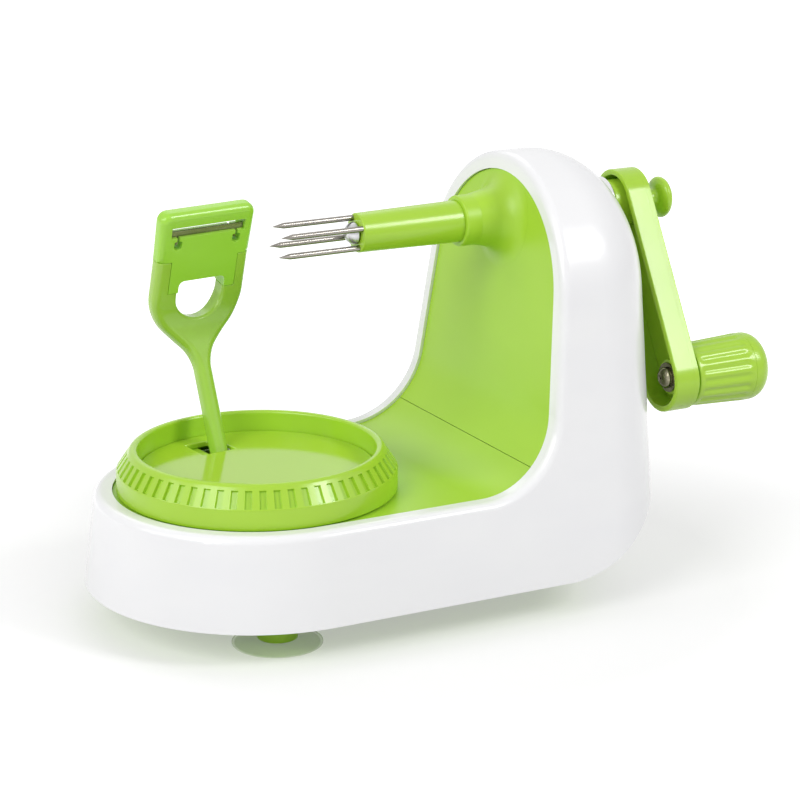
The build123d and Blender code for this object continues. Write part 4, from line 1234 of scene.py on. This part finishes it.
@dataclass
class Crank:
    """Crank channel with its hub and boss, the grip on it, and the push knob behind it.

    Profiles are lengths along the axis and radii: the screw's head from its top, and the knob's flare from
    the disc's underside. The knob's edge is too, but with how far it lies inside the disc's radius.
    """

    outer: float
    axis_z: float
    grip_y: float
    grip_z: float
    depth: float = 9.1
    wall: float = 2.0
    end_radius: float = 11.5
    end_flat: float = 0.05
    rim_round: float = 0.45
    rim_edge: float = 50.0
    seam: float = 0.02
    hub_radius: float = 8.0
    boss_radius: float = 6.0
    boss_length: float = 3.1
    stub_round: float = 0.3
    stem_bore: float = 3.4
    screw_bore: float = 1.6
    screw_head: tuple[Pair, ...] = ((0.0, 1.9), (0.5, 2.9), (1.4, 3.6), (2.4, 3.6), (2.4, 2.0))
    screw_shank: float = 2.0
    screw_round: float = 0.15
    cross_half: Pair = (0.35, 1.7)
    cross_depth: float = 0.2
    cross_turn: float = 20.0
    washer_bore: float = 2.1
    washer_round: float = 0.15
    grip_radius: float = 11.7
    grip_taper: float = 0.9
    grip_bore: float = 5.3
    grip_inside: float = 8.0
    grip_round: float = 0.5
    grip_edge: float = 60.0
    band: float = 1.6
    swell: float = 0.1
    flutes: int = 18
    flute_steps: int = 8
    flute_depth: float = 0.6
    flute_shape: float = 1.5
    flute_start: float = 2.6
    flute_end: float = 3.0
    cap_round: float = 5.2
    cap_seam: float = 0.35
    knob_stem: float = 3.0
    knob_disc: float = 4.2
    knob_flare: tuple[Pair, ...] = ((-1.6, 3.0), (-0.4, 3.7), (0.3, 5.6))
    knob_edge: tuple[Pair, ...] = ((1.4, 0.15), (2.4, 0.0), (3.5, 0.7))
    knob_crown: Pair = (0.1, 4.2)
    knob_round: float = 0.5
    knob_sharp: float = 14.0

    @classmethod
    def from_frame(cls) -> "Crank":
        """Take the crank's outer face and both its axes from the CAD nodes."""
        grip, axis_z = NodeBox.of("grip_cap").middle, NodeBox.of("fork_sleeve").middle.z
        return cls(outer=NodeBox.of("crank_arm").high.x, axis_z=axis_z, grip_y=grip.y, grip_z=grip.z)

    def build(self) -> list[bpy.types.Object]:
        """Build the channel, the grip's screw and washer, the grip, its cap and the push knob."""
        return [self.channel(), self.screw(), self.washer(), self.grip(), self.cap(), self.knob()]

    def at_grip(self, mould: Mould) -> Mould:
        """Move a form that is turned about the X axis to the grip's axis."""
        return mould.shift(0, self.grip_y, self.grip_z)

    def channel(self) -> bpy.types.Object:
        """Build the crank: a round-ended channel open to the body, with a hub and a boss in it.

        Returns:
            The channel.
        """
        down = Vector((0, self.grip_y, self.grip_z - self.axis_z))
        length = down.length
        down.normalize()
        rim = self.long_round(self.end_radius, length)
        back = self.wall + self.seam
        side = Mould.plate([rim, self.long_round(self.end_radius - self.wall, length)], self.depth - back)
        side.soften(self.rim_round, sharper=self.rim_edge, where=lambda p: p.y < -NEAR).shift(0, -back / 2, 0)
        web = Mould.plate([rim, self.long_round(self.stem_bore, 0)], self.wall)
        web.soften(self.rim_round, sharper=self.rim_edge, where=lambda p: p.y > NEAR)
        mould = side.join(web.shift(0, (self.depth - self.wall) / 2, 0))
        along = Vector((1, 0, 0))
        turn = Matrix((down, along, down.cross(along))).transposed().to_4x4()
        mould.move(Matrix.Translation((self.outer - self.depth / 2, 0, self.axis_z)) @ turn)
        hub = self.stub(NodeBox.of("crank_arm").low.x, self.hub_radius, self.stem_bore)
        boss = self.stub(self.outer - self.wall - self.boss_length, self.boss_radius, self.screw_bore)
        mould.join(hub.shift(0, 0, self.axis_z)).join(self.at_grip(boss))
        return mould.finish("crank_channel", Body.SPINDLE, LIME_GLOSS, "crank_arm")

    def long_round(self, radius: float, length: float) -> list[Corner]:
        """Draw a round-ended outline about the spindle's axis and a second point.

        Args:
            radius: Radius of both ends.
            length: Distance of the second point.

        Returns:
            The outline's corners.
        """
        rounding = radius - self.end_flat
        far = length + radius
        return [(-radius, -radius, rounding), (far, -radius, rounding), (far, radius, rounding),
                (-radius, radius, rounding)]

    def stub(self, start: float, radius: float, bore: float) -> Mould:
        """Turn a short bored boss that ends in the channel's web.

        Args:
            start: Its free end.
            radius: Its radius.
            bore: Radius of its bore.

        Returns:
            The boss, about the X axis.
        """
        profile = ring_profile(start, self.outer - self.wall / 2, bore, radius)
        return Mould.turned(profile, steps=64, closed=True).soften(self.stub_round, segments=2)

    def screw(self) -> bpy.types.Object:
        """Build the grip's screw: a domed head that a thin cross marks, and a plain shank.

        Returns:
            The screw.
        """
        box = NodeBox.of("grip_screw")
        top, end = box.low.x, box.high.x
        profile = [(top, 0.0)] + [(top + along, radius) for along, radius in self.screw_head]
        profile += [(end, self.screw_shank), (end, 0.0)]
        mould = Mould.turned(profile, steps=48).soften(self.screw_round, segments=2)
        x, z = self.cross_half
        for turn in (0, 90):
            bar = Mould.plate([[(-x, -z, 0.0), (x, -z, 0.0), (x, z, 0.0), (-x, z, 0.0)]], self.cross_depth)
            bar.move(Matrix.Rotation(radians(90), 4, "Z"))
            bar.move(Matrix.Rotation(radians(turn + self.cross_turn), 4, "X"))
            mould.join(bar.shift(top, 0, 0))
        return self.at_grip(mould).finish("grip_screw_head", Body.SPINDLE, STEEL_PAINTED_GREEN_REFLECTION, "grip_screw")

    def washer(self) -> bpy.types.Object:
        """Build the washer under the screw's head.

        Returns:
            The washer.
        """
        box = NodeBox.of("grip_washer")
        profile = ring_profile(box.low.x, box.high.x, self.washer_bore, box.radius)
        mould = Mould.turned(profile, steps=64, closed=True).soften(self.washer_round, segments=2)
        return self.at_grip(mould).finish("grip_screw_washer", Body.SPINDLE, STEEL_PAINTED_GREEN_REFLECTION, "grip_washer")

    def grip(self) -> bpy.types.Object:
        """Build the grip: a tapered barrel with soft flutes between a collar and its cap.

        Returns:
            The grip.
        """
        box = NodeBox.of("grip")
        low, high = box.low.x, box.high.x
        small, large = self.grip_radius - self.grip_taper, self.grip_radius
        start, end = low + self.flute_start, high - self.flute_end
        profile = [(low, self.grip_bore), (low, small), (low + self.band, small + self.swell / 2),
                   (start, small + self.swell), (end, large - self.swell), (high - self.band, large),
                   (high, large), (high, self.grip_bore)]
        mould = Mould.turned(profile, steps=self.flute_steps * self.flutes, closed=True)
        mould.map(lambda point: self.fluted(point, (start - WELD, end + WELD)))
        mould.soften(self.grip_round, sharper=self.grip_edge,
                     where=lambda p: p.x < low + NEAR and off_axis(p) > self.grip_inside)
        return self.at_grip(mould).finish("fluted_grip", Body.GRIP, LIME_GLOSS, "grip")

    def fluted(self, point: Vector, span: Pair) -> Vector:
        """Sink a barrel point into its flute where it lies between the flutes' ends.

        Args:
            point: A point of the barrel.
            span: The flutes' two ends along the axis.

        Returns:
            The point's new place.
        """
        radius = off_axis(point)
        if radius < self.grip_inside or not span[0] <= point.x <= span[1]:
            return point.copy()
        wave = 0.5 + 0.5 * cos(self.flutes * atan2(point.z, point.y))
        share = 1 - self.flute_depth * wave ** self.flute_shape / radius
        return Vector((point.x, point.y * share, point.z * share))

    def cap(self) -> bpy.types.Object:
        """Build the grip's domed end.

        Returns:
            The cap.
        """
        start, end = NodeBox.of("grip").high.x, NodeBox.of("grip_cap").high.x
        mould = Mould.turned(ring_profile(start, end, 0.0, self.grip_radius), steps=96)
        mould.soften(self.cap_seam, where=lambda p: p.x < start + NEAR)
        mould.soften(self.cap_round, segments=10, where=lambda p: p.x > end - NEAR)
        return self.at_grip(mould).finish("grip_dome", Body.GRIP, LIME_GLOSS, "grip_cap")

    def knob(self) -> bpy.types.Object:
        """Build the push knob: a mushroom with a flared stem.

        Returns:
            The knob.
        """
        box = NodeBox.of("ejector_knob")
        start, end = box.low.x, box.high.x
        disc = end - self.knob_disc
        crown_depth, crown_radius = self.knob_crown
        profile = [(start, 0.0), (start, self.knob_stem)]
        profile += [(disc + along, radius) for along, radius in self.knob_flare]
        profile += [(disc + along, box.radius - inside) for along, inside in self.knob_edge]
        profile += [(end - crown_depth, crown_radius), (end, 0.0)]
        mould = Mould.turned(profile, steps=72).soften(self.knob_round, sharper=self.knob_sharp)
        return mould.shift(0, 0, self.axis_z).finish("push_knob", Body.EJECTOR, LIME_GLOSS, "ejector_knob")


@dataclass
class Feet:
    """Clear suction cups under the base, and the green collars above them."""

    radius: float = 14.9
    dish: float = 1.7
    crown: float = 0.7
    crown_edge: float = 0.8
    ledge: float = 0.8
    lip: float = 0.45
    skirt: float = 0.9
    stud: float = 2.5
    post: float = 6.7
    cup_round: float = 0.15
    collar_gap: float = 0.05
    collar_lap: float = 0.3
    collar_round: float = 0.4

    def build(self) -> list[bpy.types.Object]:
        """Build the cups and their collars."""
        return [self.suction_cups(), self.collars()]

    def suction_cups(self) -> bpy.types.Object:
        """Build the two front cups and the rear one as thin dishes with a stud each.

        Returns:
            The group of cups.
        """
        top = NodeBox.of("suction_cups").high.z
        profile = [(self.dish - self.crown, 0.0), (self.dish - self.crown_edge, self.post),
                   (0.0, self.radius - self.skirt), (0.0, self.radius), (self.lip, self.radius),
                   (self.dish, self.post + self.ledge), (self.dish, self.stud), (top, self.stud), (top, 0.0)]
        cups = self.at_each(lambda: Mould.turned(profile, steps=64).soften(self.cup_round, segments=2))
        return cups.finish("suction_dishes", Body.HOUSING, CLEAR_CUP, "suction_cups")

    def collars(self) -> bpy.types.Object:
        """Build the green collars that press the cups' dishes to their posts.

        Returns:
            The group of collars.
        """
        low, high = self.dish + self.collar_gap, NodeBox.of("base_cover").low.z + self.collar_lap
        profile = ring_profile(low, high, self.stud + self.collar_gap, self.post)
        collars = self.at_each(lambda: Mould.turned(profile, steps=64, closed=True).soften(self.collar_round))
        return collars.finish("cup_collars", Body.HOUSING, LIME_SATIN)

    def at_each(self, form: Callable[[], Mould]) -> Mould:
        """Repeat a turned form at the two front cups and the rear one.

        Args:
            form: Function that makes the form, about the X axis.

        Returns:
            The group of upright forms.
        """
        box = NodeBox.of("suction_cups")
        front, rear, side = box.low.x + self.radius, box.high.x - self.radius, box.high.y - self.radius
        group = Mould()
        for x, y in ((front, -side), (front, side), (rear, 0.0)):
            group.join(form().move(ALONG_TO_UP).shift(x, y, 0))
        return group


@dataclass
class CadFinishes:
    """Finishes of the CAD nodes that stay in view as they are."""

    white: tuple[str, ...] = ("body_shell",)
    satin: tuple[str, ...] = ("deck_panel", "tower_panel", "base_cover")
    nylon: tuple[str, ...] = ("front_bush", "rear_bush", "shaft_bracket", "spindle_pinion", "crown_gear",
                              "shaft_pinion", "idler_gear", "compound_gear", "turntable_gear", "grip_axle")

    def dress(self) -> dict[str, Finish]:
        """Give every CAD node a finish: steel, where none is named for it.

        Returns:
            Each node's finish.
        """
        chosen: dict[str, Finish] = {name: PART_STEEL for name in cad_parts}
        chosen.update({name: WHITE_SHELL for name in self.white})
        chosen.update({name: LIME_SATIN for name in self.satin})
        chosen.update({name: NYLON for name in self.nylon})
        for name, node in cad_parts.items():
            node.data.materials.clear()
            node.data.materials.append(PAINTS.get(chosen[name]))
        return chosen


@dataclass(frozen=True)
class Lamp:
    """Square soft lamp that faces the peeler, in metres and watts."""

    name: str
    place: Triple
    size: float
    power: float
    aim: Triple = (0.0, 0.0, 0.06)

    def hang(self) -> None:
        """Add the lamp to the scene."""
        lamp = bpy.data.lights.new(self.name, "AREA")
        lamp.size = self.size
        lamp.energy = self.power
        piece = bpy.data.objects.new(self.name, lamp)
        piece.location = self.place
        piece.rotation_euler = (Vector(self.aim) - Vector(self.place)).to_track_quat("-Z", "Y").to_euler()
        bpy.context.scene.collection.objects.link(piece)


@dataclass
class Studio:
    """Floor, soft lamps and the camera at the photograph's angle.

    The camera's place and target are in millimetres, as the pieces are, and the floor's lengths in metres.
    """

    camera_at: Triple = (-428.88, -802.5, 334.1)
    target: Triple = (-5.53, 0.0, 65.16)
    lens: float = 126.26
    sensor: float = 36.0
    clip: Pair = (0.05, 50.0)
    sky: float = 0.38
    floor_size: float = 6.0
    floor_cells: int = 8
    floor_grey: float = 0.62
    floor_rough: float = 0.9
    floor_near: float = 0.11
    floor_far: float = 0.32
    floor_lift: float = 0.40
    floor_far_lift: float = 0.95
    lamps: tuple[Lamp, ...] = (
        Lamp("key", (-1.3, -0.55, 1.0), size=0.9, power=13.0),
        Lamp("side", (-1.35, 0.3, 0.7), size=0.5, power=2.5),
        Lamp("fill", (0.71, -0.95, 0.93), size=0.42, power=7.8),
        Lamp("back", (0.25, 1.0, 1.1), size=0.9, power=2.0),
    )

    def set_up(self) -> None:
        """Build the whole studio."""
        bpy.context.scene.view_settings.view_transform = "Standard"
        self.world()
        self.floor()
        for lamp in self.lamps:
            lamp.hang()
        self.camera()

    def seen_rays(self, nodes: bpy.types.Nodes, links: bpy.types.NodeLinks) -> bpy.types.NodeSocket:
        """Tell the rays that see a surface from those that only carry its light.

        Args:
            nodes: Nodes of the graph that needs it.
            links: Links of the same graph.

        Returns:
            A socket that is 1 for camera, glossy and transmission rays, and 0 for the rest.
        """
        path = nodes.new("ShaderNodeLightPath")
        either = path.outputs["Is Camera Ray"]
        for name in ("Is Glossy Ray", "Is Transmission Ray"):
            join = nodes.new("ShaderNodeMath")
            join.operation = "MAXIMUM"
            links.new(either, join.inputs[0])
            links.new(path.outputs[name], join.inputs[1])
            either = join.outputs[0]
        return either

    def world(self) -> None:
        """White surroundings: full white where they are seen, and softer as a light."""
        world = bpy.data.worlds.new("studio_white")
        bpy.context.scene.world = world
        world.use_nodes = True
        nodes, links = world.node_tree.nodes, world.node_tree.links
        background = nodes["Background"]
        background.inputs["Color"].default_value = (1, 1, 1, 1)
        level = nodes.new("ShaderNodeMapRange")
        level.inputs["To Min"].default_value = self.sky
        level.inputs["To Max"].default_value = 1.0
        links.new(self.seen_rays(nodes, links), level.inputs["Value"])
        links.new(level.outputs["Result"], background.inputs["Strength"])

    def floor(self) -> None:
        """White floor that keeps the peeler's shadow and whitens away from it."""
        bm = bmesh.new()
        cells = self.floor_cells
        bmesh.ops.create_grid(bm, x_segments=cells, y_segments=cells, size=self.floor_size)
        mesh = bpy.data.meshes.new("studio_floor")
        bm.to_mesh(mesh)
        bm.free()
        mesh.materials.append(self.floor_white())
        floor = bpy.data.objects.new("studio_floor", mesh)
        bpy.context.scene.collection.objects.link(floor)

    def floor_white(self) -> bpy.types.Material:
        """Build the floor's white, lifted for the rays that see it, and more so away from the peeler.

        Returns:
            The floor's material.
        """
        graph = Graph("studio_floor")
        grey = self.floor_grey
        graph.put(Base_Color=(grey, grey, grey, 1), Roughness=self.floor_rough, Specular_IOR_Level=0.0,
                  Emission_Color=(1, 1, 1, 1))
        distance = graph.nodes.new("ShaderNodeVectorMath")
        distance.operation = "LENGTH"
        graph.links.new(graph.place, distance.inputs[0])
        level = graph.nodes.new("ShaderNodeMapRange")
        level.inputs["From Min"].default_value = self.floor_near
        level.inputs["From Max"].default_value = self.floor_far
        level.inputs["To Min"].default_value = self.floor_lift
        level.inputs["To Max"].default_value = self.floor_far_lift
        graph.links.new(distance.outputs["Value"], level.inputs["Value"])
        lift = graph.nodes.new("ShaderNodeMath")
        lift.operation = "MULTIPLY"
        graph.links.new(self.seen_rays(graph.nodes, graph.links), lift.inputs[0])
        graph.links.new(level.outputs["Result"], lift.inputs[1])
        graph.links.new(lift.outputs[0], graph.shader.inputs["Emission Strength"])
        return graph.material

    def camera(self) -> None:
        """Add the camera at the photograph's place."""
        lens = bpy.data.cameras.new("camera")
        lens.lens = self.lens
        lens.sensor_width = self.sensor
        lens.clip_start, lens.clip_end = self.clip
        place, target = Vector(self.camera_at) * MM, Vector(self.target) * MM
        piece = bpy.data.objects.new("camera", lens)
        piece.location = place
        piece.rotation_euler = (target - place).to_track_quat("-Z", "Y").to_euler()
        bpy.context.scene.collection.objects.link(piece)
        bpy.context.scene.camera = piece


def main() -> None:
    """Build every sub-assembly in order and report its pieces."""
    logging.basicConfig(level=logging.INFO, format="%(name)s: %(message)s")
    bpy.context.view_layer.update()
    for name, finish in CadFinishes().dress().items():
        LOG.info("CAD node %s in %s", name, finish.name)
    assemblies: list[SubAssembly] = [
        Turntable.from_frame(), PeelingArm.from_frame(), ForkSpindle.from_frame(), Neck.from_frame(),
        Crank.from_frame(), Feet(),
    ]
    for assembly in assemblies:
        for piece in assembly.build():
            LOG.info("%s: %s, %d faces in %s", type(assembly).__name__, piece.name, len(piece.data.polygons),
                     piece.data.materials[0].name)
    Studio().set_up()


if __name__ == "__main__":
    main()
